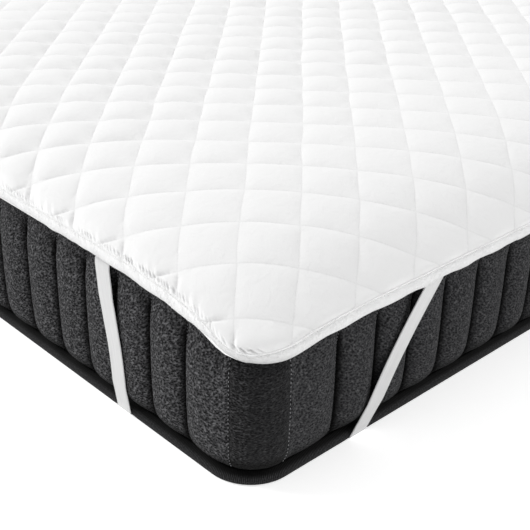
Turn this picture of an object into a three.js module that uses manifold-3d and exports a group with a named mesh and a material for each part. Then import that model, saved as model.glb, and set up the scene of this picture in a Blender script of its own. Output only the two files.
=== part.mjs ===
// Quilted mattress protector with an elastic strap at each corner, lying on the plain mattress it fits.
// Millimetres, +Z up. The origin is the centre of the underside, +Y runs along the length to the head end,
// +X is the right long side. A "rim" is the line round the mattress where its top shoulder turns down.

import * as THREE from 'three';
import { mergeVertices } from 'three/addons/utils/BufferGeometryUtils.js';
import Module from 'manifold-3d';

// ---- Driving dimensions -------------------------------------------------------------------------------

// Rim outline in plan, a rounded rectangle, and the height of the flat middle of the protector.
const RIM = { halfWidth: 697, halfLength: 997, radius: 52, innerRadius: 12 };
const CROWN = 268;

// The top falls towards each edge as drop * exp(-distance / reach); where two edges meet at a corner
// the cloth can't follow both falls, and cornerEase gives part of their product back.
const SHOULDER = { drop: 52, reach: 71, cornerEase: 0.006 };

// How far the cloth hangs past the rim, measured along it: on each side and at every corner.
const HANG = { right: 49.9, left: 40, foot: 24.1, head: 34, corner: 35.8 };

// Lengths over which the hang of a long side and of an end runs out into the corner's.
const HANG_BLEND = { side: 110, end: 35 };

// The cloth keeps its slope until the last `fall` mm above the hem, and turns plumb over the curl.
const TURN_DOWN = { fall: 26, curl: 17 };

// Quilted sheet, and the tongue that its edge is pressed to inside the binding.
const PAD = { thickness: 5, tongueTop: 1.3, tongueBottom: 3.7 };
const BINDING = { height: 18, thickness: 5, wall: 1, slotFloor: 1.4, mouthGap: 0.4 };
const STRAP = { width: 26.5, thickness: 1.2, gap: 0.5, tuck: 9, plumbBelowHem: 1.5, floorGap: 0.3 };

// Turn of a strap round the bottom edge: the height it starts at, and how far its last station above the
// floor stands up from the stretch underneath and in from the tape. The stretch starts `reach` further in.
const STRAP_TURN = { start: 4, rise: 0.5, inset: 0.4, reach: 2 };
const UNDERSIDE_Z = STRAP.floorGap + STRAP.thickness / 2;

// Clearance under the cloth: almost touching on the flat top, wider at the edges.
const CLEARANCE = { crown: 0.4, edge: 2.4, widenFrom: 120, widenTo: 25 };

// Mattress border between the tape and the hem: it bulges out from its two seams. Where the cloth
// slopes on past the rim, the top of the border follows it out by a share of that length.
const BORDER = { seamOffset: 1, bulge: 11, fullness: 0.55, bottom: 27, belowHem: 2 };
const SPREAD = { share: 0.4, sharpness: 6 };

// Shares of the hang at which the mattress's shoulder is drawn under the cloth.
const SHOULDER_SHARES = [0.25, 0.48];
const BASE = { faceOffset: -2, skirtOffset: 0.7, chamfer: 2.5 };

// Woven tape round the bottom edge. Rows run round its section: offset out of the rim line, and height.
const TAPE_SECTION = [
  { offset: 1.0, z: 2.6 },
  { offset: 3.6, z: 2.6 },
  { offset: 4.6, z: 3.8 },
  { offset: 4.6, z: 17.4 },
  { offset: 3.0, z: 18.8 },
  { offset: 2.4, z: 21.6 },
  { offset: 1.0, z: 21.6 },
];
const TAPE_FACE = { low: TAPE_SECTION[2], high: TAPE_SECTION[3] };

// Groove in the mattress's underside for each strap: its depth and the room beside the strap.
const GROOVE = { depth: 1.8, sideRoom: 1.6, overrun: 14 };

// Where each strap meets its two faces, as distances of its middle from the corner along the hem (top)
// and along the bottom edge. BOW is how far it curves towards the corner on the way down.
const STRAPS = [
  { corner: 'foot_right', x: 1, y: -1, endTop: 241, endBottom: 212, sideTop: 271, sideBottom: 168 },
  { corner: 'foot_left', x: -1, y: -1, endTop: 262, endBottom: 224, sideTop: 240, sideBottom: 188 },
  { corner: 'head_left', x: -1, y: 1, endTop: 250, endBottom: 205, sideTop: 268, sideBottom: 170 },
  { corner: 'head_right', x: 1, y: 1, endTop: 236, endBottom: 214, sideTop: 283, sideBottom: 182 },
];
const BOW = { end: 15, side: 8 };

// Mesh fineness.
const ARC_STEPS = 6;
const SHORT_SIDE_STEPS = 12;
const LONG_SIDE_STEPS = 14;
const TOP_INSETS = [260, 170, 105, 60, 30, 12, 0];
const BORDER_LEVELS = [1, 0.94, 0.84, 0.68, 0.5, 0.32, 0.16, 0.06, 0];
const UNDER_STEPS = 8;

// ---- The draped surface -------------------------------------------------------------------------------

/** Height of the sheet's upper face over a point inside the rim. */
function topHeight(x, y) {
  const fall = (distance) => SHOULDER.drop * Math.exp(-distance / SHOULDER.reach);
  const across = fall(RIM.halfWidth - x) + fall(RIM.halfWidth + x);
  const along = fall(RIM.halfLength - y) + fall(RIM.halfLength + y);
  return CROWN - across - along + SHOULDER.cornerEase * across * along;
}

/** Upward unit normal of the sheet inside the rim. */
function topNormal(x, y) {
  const h = 0.01;
  const slopeX = (topHeight(x + h, y) - topHeight(x - h, y)) / (2 * h);
  const slopeY = (topHeight(x, y + h) - topHeight(x, y - h)) / (2 * h);
  return new THREE.Vector3(-slopeX, -slopeY, 1).normalize();
}

/** Length of cloth past the rim at a station of the rim. */
function hangAt(rim) {
  const sideways = rim.nx > 0 ? HANG.right : HANG.left;
  const lengthways = rim.ny > 0 ? HANG.head : HANG.foot;
  const side = sideways * rim.nx ** 2 + lengthways * rim.ny ** 2;
  const blend = HANG_BLEND.side * rim.nx ** 2 + HANG_BLEND.end * rim.ny ** 2;
  return side + (HANG.corner - side) * Math.exp(-rim.fromCorner / blend);
}

/** Length of cloth past the rim that still lies at the shoulder's slope. */
function slopingAt(rim) {
  return Math.max(hangAt(rim) - TURN_DOWN.fall, 0);
}

/**
 * Point of the sheet past the rim: `hang` mm of cloth below it and `depth` mm under its outer face.
 * The cloth turns from the shoulder's slope to plumb along a circular arc.
 */
function hangingPoint(rim, hang, depth) {
  const h = 0.01;
  const outside = topHeight(rim.x + rim.nx * h, rim.y + rim.ny * h);
  const inside = topHeight(rim.x - rim.nx * h, rim.y - rim.ny * h);
  const startTilt = Math.atan((inside - outside) / (2 * h));
  const bend = (Math.PI / 2 - startTilt) / TURN_DOWN.curl;
  const sloping = Math.min(hang, slopingAt(rim));
  const turning = Math.min(hang - sloping, TURN_DOWN.curl);
  const plumb = hang - sloping - turning;
  const tilt = startTilt + bend * turning;
  const out = sloping * Math.cos(startTilt) + (Math.sin(tilt) - Math.sin(startTilt)) / bend
    - depth * Math.sin(tilt);
  const down = sloping * Math.sin(startTilt) + (Math.cos(startTilt) - Math.cos(tilt)) / bend + plumb;
  const z = topHeight(rim.x, rim.y) - down - depth * Math.cos(tilt);
  return new THREE.Vector3(rim.x + rim.nx * out, rim.y + rim.ny * out, z);
}

/** Height of the hem's lower edge at a station of the rim. */
function hemHeight(rim) {
  return hangingPoint(rim, hangAt(rim), 0).z;
}

/** How far a hanging point stands out of the rim line. */
function offsetFromRim(rim, point) {
  return (point.x - rim.x) * rim.nx + (point.y - rim.y) * rim.ny;
}

// ---- Rings round the object ---------------------------------------------------------------------------

/**
 * Stations round the rim moved inwards by `inset`: four corner arcs joined by straight sides whose
 * stations crowd towards the corners. Every inset gives the same number of stations in the same order.
 */
function rimStations(inset) {
  const radius = Math.max(RIM.radius - inset, RIM.innerRadius);
  const halfX = RIM.halfWidth - inset - radius;
  const halfY = RIM.halfLength - inset - radius;
  const quarterArc = (RIM.radius * Math.PI) / 4;
  const stations = [];
  for (let quarter = 0; quarter < 4; quarter += 1) {
    const start = (quarter * Math.PI) / 2;
    const signX = quarter === 0 || quarter === 3 ? 1 : -1;
    const signY = quarter < 2 ? 1 : -1;
    for (let i = 0; i <= ARC_STEPS; i += 1) {
      const angle = start + (i / ARC_STEPS) * (Math.PI / 2);
      const nx = Math.cos(angle);
      const ny = Math.sin(angle);
      const fromCorner = quarterArc * Math.abs((2 * i) / ARC_STEPS - 1);
      const x = signX * halfX + radius * nx;
      const y = signY * halfY + radius * ny;
      stations.push({ x, y, nx, ny, fromCorner });
    }
    const nx = Math.round(Math.cos(start + Math.PI / 2));
    const ny = Math.round(Math.sin(start + Math.PI / 2));
    const steps = ny === 0 ? LONG_SIDE_STEPS : SHORT_SIDE_STEPS;
    for (let i = 1; i < steps; i += 1) {
      const reached = Math.cos((i / steps) * Math.PI);
      const x = nx === 0 ? signX * halfX * reached : nx * (halfX + radius);
      const y = ny === 0 ? signY * halfY * reached : ny * (halfY + radius);
      const span = nx === 0 ? halfX : halfY;
      stations.push({ x, y, nx, ny, fromCorner: quarterArc + span * (1 - Math.abs(reached)) });
    }
  }
  return stations;
}

const RIM_STATIONS = rimStations(0);

/** A ring inside the rim, `depth` mm under the sheet's upper face. */
function topRing(inset, depth) {
  return rimStations(inset).map((station) => {
    const surface = new THREE.Vector3(station.x, station.y, topHeight(station.x, station.y));
    return surface.addScaledVector(topNormal(station.x, station.y), -depth);
  });
}

/** A ring past the rim, with `hangOf(rim)` mm of cloth down to it. */
function hangingRing(hangOf, depth) {
  return RIM_STATIONS.map((rim) => hangingPoint(rim, hangOf(rim), depth));
}

/** A ring below the hem, `offsetOf(rim)` mm out of the rim line at the height `zOf(rim)`. */
function sideRing(offsetOf, zOf) {
  return RIM_STATIONS.map((rim) => {
    const offset = offsetOf(rim);
    return new THREE.Vector3(rim.x + rim.nx * offset, rim.y + rim.ny * offset, zOf(rim));
  });
}

/** Clearance between the sheet and the mattress at an inset from the rim. */
function clearanceAt(inset) {
  const share = THREE.MathUtils.clamp(
    (CLEARANCE.widenFrom - inset) / (CLEARANCE.widenFrom - CLEARANCE.widenTo), 0, 1,
  );
  return THREE.MathUtils.lerp(CLEARANCE.crown, CLEARANCE.edge, share);
}

// ---- Closed solids from rings -------------------------------------------------------------------------

/** Turns a triangle list into an outward-facing BufferGeometry. */
function closedGeometry(points, triangles) {
  let volume = 0;
  for (const [a, b, c] of triangles) {
    volume += points[a].dot(new THREE.Vector3().crossVectors(points[b], points[c]));
  }
  const ordered = volume < 0 ? triangles.map(([a, b, c]) => [a, c, b]) : triangles;
  const geometry = new THREE.BufferGeometry();
  geometry.setAttribute('position', new THREE.Float32BufferAttribute(points.flatMap((p) => p.toArray()), 3));
  geometry.setIndex(ordered.flat());
  geometry.computeVertexNormals();
  return geometry;
}

/** Triangles joining ring `a` to ring `b` of `points`, with each cell split along its short diagonal. */
function bandTriangles(points, a, b, count) {
  const triangles = [];
  for (let i = 0; i < count; i += 1) {
    const next = (i + 1) % count;
    const [p, q, r, s] = [a + i, a + next, b + next, b + i];
    const splitAtP = points[p].distanceTo(points[r]) < points[q].distanceTo(points[s]);
    triangles.push(...(splitAtP ? [[p, q, r], [p, r, s]] : [[p, q, s], [q, r, s]]));
  }
  return triangles;
}

/** Solid bounded by rings one after another, its first and last ring filled by fans. */
function cappedSolid(rings) {
  const count = rings[0].length;
  const points = rings.flat();
  const triangles = [];
  for (let r = 1; r < rings.length; r += 1) {
    triangles.push(...bandTriangles(points, (r - 1) * count, r * count, count));
  }
  for (const [first, flip] of [[0, false], [(rings.length - 1) * count, true]]) {
    const middle = new THREE.Vector3();
    points.slice(first, first + count).forEach((p) => middle.addScaledVector(p, 1 / count));
    points.push(middle);
    for (let i = 0; i < count; i += 1) {
      const edge = [first + i, first + ((i + 1) % count)];
      triangles.push([points.length - 1, ...(flip ? edge : edge.reverse())]);
    }
  }
  return closedGeometry(points, triangles);
}

/** Ring-shaped solid: the rings run round its section and the last joins the first. */
function loopSolid(rings) {
  const count = rings[0].length;
  const points = rings.flat();
  const triangles = rings.flatMap((_, r) => (
    bandTriangles(points, r * count, ((r + 1) % rings.length) * count, count)
  ));
  return closedGeometry(points, triangles);
}

// ---- Protector ----------------------------------------------------------------------------------------

/** Quilted sheet: upper face, tongue inside the binding, and under face back to the middle. */
function padGeometry() {
  const tongueEnd = (rim) => hangAt(rim) - BINDING.slotFloor - CLEARANCE.crown;
  const tongueRoot = (rim) => hangAt(rim) - BINDING.height - BINDING.mouthGap;
  const tongueMiddle = (rim) => hangAt(rim) - BINDING.height / 2;
  const turnStart = (rim) => Math.max(slopingAt(rim), tongueRoot(rim) / 3);
  const halfWay = (rim) => (turnStart(rim) + tongueRoot(rim)) / 2;
  return cappedSolid([
    ...TOP_INSETS.map((inset) => topRing(inset, 0)),
    hangingRing(turnStart, 0),
    hangingRing(halfWay, 0),
    hangingRing(tongueRoot, 0),
    hangingRing(tongueRoot, PAD.tongueTop),
    hangingRing(tongueMiddle, PAD.tongueTop),
    hangingRing(tongueEnd, PAD.tongueTop),
    hangingRing(tongueEnd, PAD.tongueBottom),
    hangingRing(tongueMiddle, PAD.tongueBottom),
    hangingRing(tongueRoot, PAD.tongueBottom),
    hangingRing(tongueRoot, PAD.thickness),
    hangingRing(halfWay, PAD.thickness),
    hangingRing(turnStart, PAD.thickness),
    ...TOP_INSETS.toReversed().map((inset) => topRing(inset, PAD.thickness)),
  ]);
}

/** Binding folded over the sheet's edge: a U section with its mouth towards the middle. */
function bindingGeometry() {
  const upper = (rim) => hangAt(rim) - BINDING.height;
  const middle = (rim) => hangAt(rim) - BINDING.height / 2;
  const floor = (rim) => hangAt(rim) - BINDING.slotFloor;
  const innerWall = BINDING.thickness - BINDING.wall;
  return loopSolid([
    hangingRing(upper, 0),
    hangingRing(middle, 0),
    hangingRing(hangAt, 0),
    hangingRing(hangAt, BINDING.thickness),
    hangingRing(middle, BINDING.thickness),
    hangingRing(upper, BINDING.thickness),
    hangingRing(upper, innerWall),
    hangingRing(middle, innerWall),
    hangingRing(floor, innerWall),
    hangingRing(floor, BINDING.wall),
    hangingRing(middle, BINDING.wall),
    hangingRing(upper, BINDING.wall),
  ]);
}

// ---- Mattress -----------------------------------------------------------------------------------------

/** Height of a level of the border, from 0 at the tape to 1 just under the hem. */
function borderHeight(rim, level) {
  return THREE.MathUtils.lerp(BORDER.bottom, hemHeight(rim) - BORDER.belowHem, level);
}

/** How far the border stands out of the rim line at a level. */
function borderOffset(rim, level) {
  const bulge = BORDER.bulge * Math.max(Math.sin(Math.PI * level), 0) ** BORDER.fullness;
  return BORDER.seamOffset + bulge + SPREAD.share * slopingAt(rim) * level ** SPREAD.sharpness;
}

/** How far the mattress stands out of the rim line behind the hem, clear of a strap's sewn end. */
function edgeOffset(rim) {
  const behindHem = hangingPoint(rim, hangAt(rim), PAD.thickness + CLEARANCE.edge);
  return Math.min(offsetFromRim(rim, behindHem), borderOffset(rim, 1));
}

/** Whole mattress: top under the sheet, shoulder behind the binding, bulging border, flat underside. */
function mattressGeometry() {
  const underCloth = PAD.thickness + CLEARANCE.edge;
  return cappedSolid([
    ...TOP_INSETS.map((inset) => topRing(inset, PAD.thickness + clearanceAt(inset))),
    ...SHOULDER_SHARES.map((share) => hangingRing((rim) => hangAt(rim) * share, underCloth)),
    sideRing(edgeOffset, (rim) => hemHeight(rim) + BORDER.belowHem),
    ...BORDER_LEVELS.map((level) => sideRing(
      (rim) => (level === 1 ? edgeOffset(rim) : borderOffset(rim, level)),
      (rim) => borderHeight(rim, level),
    )),
    sideRing(() => BASE.skirtOffset, () => BORDER.bottom - 2),
    sideRing(() => BASE.skirtOffset, () => BASE.chamfer),
    sideRing(() => BASE.faceOffset, () => 0),
  ]);
}

/** Tape round the bottom edge of the mattress. */
function tapeGeometry() {
  return loopSolid(TAPE_SECTION.map((row) => sideRing(() => row.offset, () => row.z)));
}

// ---- Straps -------------------------------------------------------------------------------------------

/**
 * One face that a strap runs down: `out` is the face's outward normal, `along` the unit vector from the
 * corner along the edge, `top` and `bottom` the distances of the strap's middle from the corner, `bow`
 * how far it curves towards the corner between them.
 */
function strapFace(strap, out, along, top, bottom, bow) {
  const rimAt = (distance) => ({
    x: out.x === 0 ? strap.x * (RIM.halfWidth - distance) : out.x * RIM.halfWidth,
    y: out.y === 0 ? strap.y * (RIM.halfLength - distance) : out.y * RIM.halfLength,
    nx: out.x,
    ny: out.y,
    fromCorner: distance - RIM.radius + (RIM.radius * Math.PI) / 4,
  });
  const hem = hemHeight(rimAt(top));
  const movedAt = (share) => (top - bottom) * share + bow * Math.sin(Math.PI * share);
  const leanAt = (share) => Math.atan((top - bottom + bow * Math.PI * Math.cos(Math.PI * share)) / hem);
  return { out, along, top, rimAt, hem, movedAt, leanAt };
}

/** The points of a falling path that a taut strap touches: its outer hull, from the first to the last. */
function tautened(points) {
  const touched = [];
  for (const point of points) {
    while (touched.length > 1) {
      const [before, last] = touched.slice(-2);
      const share = (before.z - last.z) / (before.z - point.z);
      if (last.offset > THREE.MathUtils.lerp(before.offset, point.offset, share)) break;
      touched.pop();
    }
    touched.push(point);
  }
  return touched;
}

/** Height and offset from the rim line of a strap's middle, from its sewn end down to the bottom edge. */
function strapProfile(face) {
  const rim = face.rimAt(face.top);
  const sewnDepth = BINDING.thickness + STRAP.floorGap + STRAP.thickness / 2;
  const behindBinding = [STRAP.tuck, STRAP.tuck / 2, -STRAP.plumbBelowHem].map((above) => {
    const point = hangingPoint(rim, hangAt(rim) - above, sewnDepth);
    return { z: point.z, offset: offsetFromRim(rim, point) };
  });
  const overBorder = BORDER_LEVELS.slice(1, -2).map((level) => (
    { z: borderHeight(rim, level), offset: borderOffset(rim, level) + STRAP.gap + STRAP.thickness / 2 }
  ));
  const tapeOffset = TAPE_FACE.low.offset + STRAP.floorGap + STRAP.thickness / 2;
  const overTape = { z: TAPE_FACE.high.z, offset: tapeOffset };
  return [
    ...behindBinding.slice(0, -1),
    ...tautened([behindBinding.at(-1), ...overBorder, overTape]),
    { z: STRAP_TURN.start, offset: tapeOffset },
    { z: UNDERSIDE_Z + STRAP_TURN.rise, offset: tapeOffset - STRAP_TURN.inset },
  ];
}

/** Stations of a strap down one face: its middle and half its width as a vector along the edge. */
function faceStations(face) {
  return strapProfile(face).map(({ z, offset }) => {
    const share = THREE.MathUtils.clamp((face.hem - z) / face.hem, 0, 1);
    const base = face.rimAt(face.top - face.movedAt(share));
    const centre = new THREE.Vector3(base.x + base.nx * offset, base.y + base.ny * offset, z);
    const halfWidth = STRAP.width / 2 / Math.cos(face.leanAt(share));
    return { centre, across: face.along.clone().multiplyScalar(halfWidth) };
  });
}

/** Stations of the stretch under the mattress, a curve from one bottom edge to the other. */
function underStations(first, last, endFace, sideFace) {
  const start = first.centre.clone().addScaledVector(endFace.out, -STRAP_TURN.reach).setZ(UNDERSIDE_Z);
  const end = last.centre.clone().addScaledVector(sideFace.out, -STRAP_TURN.reach).setZ(UNDERSIDE_Z);
  const inward = (face) => face.out.clone().multiplyScalar(-Math.cos(face.leanAt(0.5)))
    .addScaledVector(face.along, -Math.sin(face.leanAt(0.5)));
  const handle = start.distanceTo(end) * 0.36;
  const curve = new THREE.CubicBezierCurve3(
    start,
    start.clone().addScaledVector(inward(endFace), handle),
    end.clone().addScaledVector(inward(sideFace), handle),
    end,
  );
  const up = new THREE.Vector3(0, 0, 1);
  const stations = [];
  for (let i = 0; i <= UNDER_STEPS; i += 1) {
    const across = new THREE.Vector3().crossVectors(curve.getTangent(i / UNDER_STEPS), up);
    stations.push({ centre: curve.getPoint(i / UNDER_STEPS), across: across.setLength(STRAP.width / 2) });
  }
  stations[0].across = first.across;
  stations[UNDER_STEPS].across = last.across;
  return stations;
}

/** All stations of a strap, from its sewn end on the short edge to the one on the long edge. */
function strapStations(strap) {
  const across = new THREE.Vector3(strap.x, 0, 0);
  const lengthways = new THREE.Vector3(0, strap.y, 0);
  const { endTop, endBottom, sideTop, sideBottom } = strap;
  const endFace = strapFace(strap, lengthways, across.clone().negate(), endTop, endBottom, BOW.end);
  const sideFace = strapFace(strap, across, lengthways.clone().negate(), sideTop, sideBottom, BOW.side);
  const down = faceStations(endFace);
  const up = faceStations(sideFace).reverse();
  const under = underStations(down.at(-1), up[0], endFace, sideFace);
  return { stations: alignAcross([...down, ...under, ...up]), under: alignAcross(under) };
}

/** Flips widthways vectors so that neighbouring stations never cross over. */
function alignAcross(stations) {
  const aligned = [];
  for (const { centre, across } of stations) {
    const previous = aligned.at(-1);
    const flip = previous && previous.across.dot(across) < 0 ? -1 : 1;
    aligned.push({ centre, across: across.clone().multiplyScalar(flip) });
  }
  return aligned;
}

/** Flat band through its stations, with a rectangular section. */
function strapGeometry({ stations }) {
  const corners = stations.map(({ centre, across }, i) => {
    const before = stations[Math.max(i - 1, 0)].centre;
    const after = stations[Math.min(i + 1, stations.length - 1)].centre;
    const tangent = new THREE.Vector3().subVectors(after, before).normalize();
    const face = new THREE.Vector3().crossVectors(tangent, across).setLength(STRAP.thickness / 2);
    return [
      centre.clone().add(across).add(face),
      centre.clone().add(across).sub(face),
      centre.clone().sub(across).sub(face),
      centre.clone().sub(across).add(face),
    ];
  });
  return cappedSolid(corners);
}

/** Groove under the mattress that a strap lies in, as a solid to cut away. */
function grooveGeometry({ under }) {
  const widened = under.map(({ centre, across }) => {
    const reach = across.clone().setLength(across.length() + GROOVE.sideRoom);
    return [centre.clone().add(reach), centre.clone().sub(reach)];
  });
  const overrun = (end, next) => end.map((point, i) => {
    const direction = new THREE.Vector3().subVectors(point, next[i]).setLength(GROOVE.overrun);
    return point.clone().add(direction);
  });
  const rows = [
    overrun(widened[0], widened[1]),
    ...widened,
    overrun(widened.at(-1), widened.at(-2)),
  ];
  const outline = [...rows.map(([left]) => left), ...rows.toReversed().map(([, right]) => right)];
  const shape = new THREE.Shape(outline.map(({ x, y }) => new THREE.Vector2(x, y)));
  const geometry = new THREE.ExtrudeGeometry(shape, { depth: GROOVE.depth + 1, bevelEnabled: false });
  return geometry.translate(0, 0, -1);
}

// ---- Boolean cuts -------------------------------------------------------------------------------------

const wasm = await Module();
wasm.setup();

/** A closed three.js geometry as a manifold solid. */
function toManifold(geometry) {
  const bare = geometry.clone();
  bare.deleteAttribute('normal');
  bare.deleteAttribute('uv');
  const welded = mergeVertices(bare);
  const vertProperties = Float32Array.from(welded.attributes.position.array);
  const triVerts = Uint32Array.from(welded.index.array);
  return new wasm.Manifold(new wasm.Mesh({ numProp: 3, vertProperties, triVerts }));
}

/** `geometry` with each of `tools` cut away. */
function cutAway(geometry, tools) {
  const cut = tools.reduce((solid, tool) => solid.subtract(toManifold(tool)), toManifold(geometry));
  const { numProp, vertProperties, triVerts } = cut.getMesh();
  const result = new THREE.BufferGeometry();
  const positions = new THREE.InterleavedBuffer(vertProperties, numProp);
  result.setAttribute('position', new THREE.InterleavedBufferAttribute(positions, 3, 0));
  result.setIndex(new THREE.BufferAttribute(triVerts, 1));
  const plain = result.toNonIndexed();
  plain.computeVertexNormals();
  return plain;
}

// ---- Assembly -----------------------------------------------------------------------------------------

const COTTON = { color: '#f4f4f2', roughness: 0.9, metalness: 0 };
const BIAS_TAPE = { color: '#f1f1ef', roughness: 0.8, metalness: 0 };
const ELASTIC = { color: '#d6d6d5', roughness: 0.75, metalness: 0 };
const KNIT = { color: '#3a3a3b', roughness: 0.95, metalness: 0 };
const WOVEN_TAPE = { color: '#1c1c1d', roughness: 0.8, metalness: 0 };

/** A named mesh with its own material. */
function piece(name, geometry, look) {
  const mesh = new THREE.Mesh(geometry, new THREE.MeshStandardMaterial(look));
  mesh.name = name;
  return mesh;
}

const routes = STRAPS.map((strap) => ({ corner: strap.corner, route: strapStations(strap) }));
const grooves = routes.map(({ route }) => grooveGeometry(route));

const mattress = new THREE.Group();
mattress.add(piece('mattress', cutAway(mattressGeometry(), grooves), KNIT));
mattress.add(piece('mattress_tape', tapeGeometry(), WOVEN_TAPE));

const protector = new THREE.Group();
protector.add(piece('protector_pad', padGeometry(), COTTON));
protector.add(piece('protector_binding', bindingGeometry(), BIAS_TAPE));
for (const { corner, route } of routes) {
  protector.add(piece(`protector_strap_${corner}`, strapGeometry(route), ELASTIC));
}

const object = new THREE.Group();
object.add(mattress, protector);

export default object;
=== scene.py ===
import logging
import math
from dataclasses import dataclass, field
from enum import Enum
from functools import partial
from typing import Any, Callable, Sequence

import bpy
import numpy as np
from mathutils import Matrix, Vector
from mathutils.geometry import delaunay_2d_cdt


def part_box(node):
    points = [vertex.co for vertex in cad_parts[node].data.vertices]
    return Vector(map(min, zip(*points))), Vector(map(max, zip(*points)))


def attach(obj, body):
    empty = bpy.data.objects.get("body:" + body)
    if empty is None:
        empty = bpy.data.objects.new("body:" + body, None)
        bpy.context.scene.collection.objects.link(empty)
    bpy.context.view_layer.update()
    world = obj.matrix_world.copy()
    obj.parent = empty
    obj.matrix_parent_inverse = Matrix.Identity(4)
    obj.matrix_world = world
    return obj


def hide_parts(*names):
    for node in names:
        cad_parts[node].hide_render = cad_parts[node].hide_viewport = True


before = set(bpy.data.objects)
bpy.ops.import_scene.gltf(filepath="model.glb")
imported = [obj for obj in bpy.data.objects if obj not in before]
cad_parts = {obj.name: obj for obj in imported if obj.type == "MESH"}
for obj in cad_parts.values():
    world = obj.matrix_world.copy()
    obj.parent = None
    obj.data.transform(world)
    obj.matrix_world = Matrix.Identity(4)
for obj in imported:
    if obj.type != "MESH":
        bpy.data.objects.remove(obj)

LOG = logging.getLogger("mattress_protector")
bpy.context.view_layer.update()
MM = 0.001
BODY = "root"
Array = np.ndarray
NodeMaker = Callable[..., bpy.types.Node]


# ---- Small helpers -------------------------------------------------------------------------------------


def linear(code: str) -> tuple[float, float, float, float]:
    """Turns an sRGB hex colour into Blender's linear colour.

    Args:
        code: Colour such as "#f4f4f2".
    Returns:
        Red, green, blue and alpha, linear.
    """
    parts = [int(code[i : i + 2], 16) / 255 for i in (1, 3, 5)]
    light = [p / 12.92 if p <= 0.04045 else ((p + 0.055) / 1.055) ** 2.4 for p in parts]
    return (light[0], light[1], light[2], 1.0)


def connect(tree: bpy.types.NodeTree, node: bpy.types.Node, inputs: dict[Any, Any]) -> None:
    """Sets a node's inputs.

    Args:
        tree: Node tree that the node is in.
        node: The node.
        inputs: Input name or number, and for each a constant, an output socket, or another node, of
            which its factor is taken, or its first output if it has none.
    """
    for name, value in inputs.items():
        if isinstance(value, bpy.types.Node):
            value = value.outputs.get("Fac") or next(given for given in value.outputs if given.enabled)
        if isinstance(value, bpy.types.NodeSocket):
            tree.links.new(value, node.inputs[name])
        else:
            node.inputs[name].default_value = value


def add_node(
    tree: bpy.types.NodeTree, kind: str, inputs: dict[Any, Any] | None = None, **settings: Any
) -> bpy.types.Node:
    """Adds one node with its settings, its constants and its links.

    Args:
        tree: Node tree that takes the node.
        kind: Blender's name for the node type.
        inputs: What goes into its inputs, as connect takes it.
        settings: The node's own properties.
    Returns:
        The new node.
    """
    node = tree.nodes.new(kind)
    for name, value in settings.items():
        setattr(node, name, value)
    connect(tree, node, inputs or {})
    return node


def placed(name: str, data: Any) -> bpy.types.Object:
    """Makes an object from a mesh, a light or a camera and puts it in the scene."""
    item = bpy.data.objects.new(name, data)
    bpy.context.scene.collection.objects.link(item)
    return item


def smooth_step(value: Array | float, low: float, high: float) -> Array:
    """Eases from 0 at low to 1 at high."""
    share = np.clip((np.asarray(value, float) - low) / (high - low), 0, 1)
    return share * share * (3 - 2 * share)


def travelled(points: Array) -> Array:
    """Length of the way from the first point to each of them."""
    return np.append(0.0, np.cumsum(np.linalg.norm(np.diff(points, axis=0), axis=1)))


def unit(vectors: Array) -> Array:
    """Scales each row of an array of vectors to length 1."""
    return vectors / np.maximum(np.linalg.norm(vectors, axis=-1, keepdims=True), 1e-12)


@dataclass(frozen=True)
class Unevenness:
    """Smooth random field on a plane, from -1 to 1, the same on every run."""

    seed: int
    size: int = 256

    def at(self, u: Array, v: Array | float = 0.0) -> Array:
        """Value of the field.

        Args:
            u: First coordinate, in steps of the field.
            v: Second coordinate, in steps of the field.
        Returns:
            One value for each point.
        """
        table = np.random.default_rng(self.seed).uniform(-1, 1, (self.size, self.size))
        u, v = np.broadcast_arrays(np.asarray(u, float), np.asarray(v, float))
        column, row = np.floor(u).astype(int), np.floor(v).astype(int)
        a, b = smooth_step(u - column, 0, 1), smooth_step(v - row, 0, 1)
        c0, c1 = column % self.size, (column + 1) % self.size
        r0, r1 = row % self.size, (row + 1) % self.size
        near = table[c0, r0] * (1 - a) + table[c1, r0] * a
        far = table[c0, r1] * (1 - a) + table[c1, r1] * a
        return near * (1 - b) + far * b


def closed_mesh(
    name: str,
    finish: bpy.types.Material,
    points: Array,
    faces: Sequence[Sequence[int]],
    uv: Array,
    around: float = 0.0,
) -> bpy.types.Object:
    """Makes a smooth mesh object whose faces point outwards.

    Args:
        name: Name of the piece.
        finish: Its material.
        points: Its corners in millimetres, one row each.
        faces: Corner numbers of each face of a closed surface.
        uv: Pattern coordinates of each corner.
        around: Length in the pattern after which its first coordinate starts again at 0, if it does.
    Returns:
        The object, at the origin.
    """
    mesh = bpy.data.meshes.new(name)
    mesh.from_pydata((points * MM).tolist(), [], [list(face) for face in faces])
    mesh.calc_loop_triangles()
    corners = np.empty(len(mesh.loop_triangles) * 3, np.int32)
    mesh.loop_triangles.foreach_get("vertices", corners)
    a, b, c = (points[corners.reshape(-1, 3)[:, i]] for i in range(3))
    if (a * np.cross(b, c)).sum() < 0:
        mesh.flip_normals()
    order = np.empty(len(mesh.loops), np.int32)
    mesh.loops.foreach_get("vertex_index", order)
    spread = uv[order].astype(np.float32)
    if around:
        # A face across the line where the pattern starts again takes the length before it as well.
        starts = np.array([face.loop_start for face in mesh.polygons])
        most = np.maximum.reduceat(spread[:, 0], starts)
        owner = np.repeat(np.arange(len(starts)), np.diff(np.append(starts, len(order))))
        spread[most[owner] - spread[:, 0] > around / 2, 0] += around
    mesh.uv_layers.new(name="cloth").data.foreach_set("uv", spread.ravel())
    mesh.materials.append(finish)
    mesh.shade_smooth()
    return placed(name, mesh)


def mark(piece: bpy.types.Object, label: str, values: Array) -> None:
    """Gives each corner of a piece a value that its finish reads."""
    attribute = piece.data.attributes.new(label, "FLOAT", "POINT")
    attribute.data.foreach_set("value", values.astype(np.float32))


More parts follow.
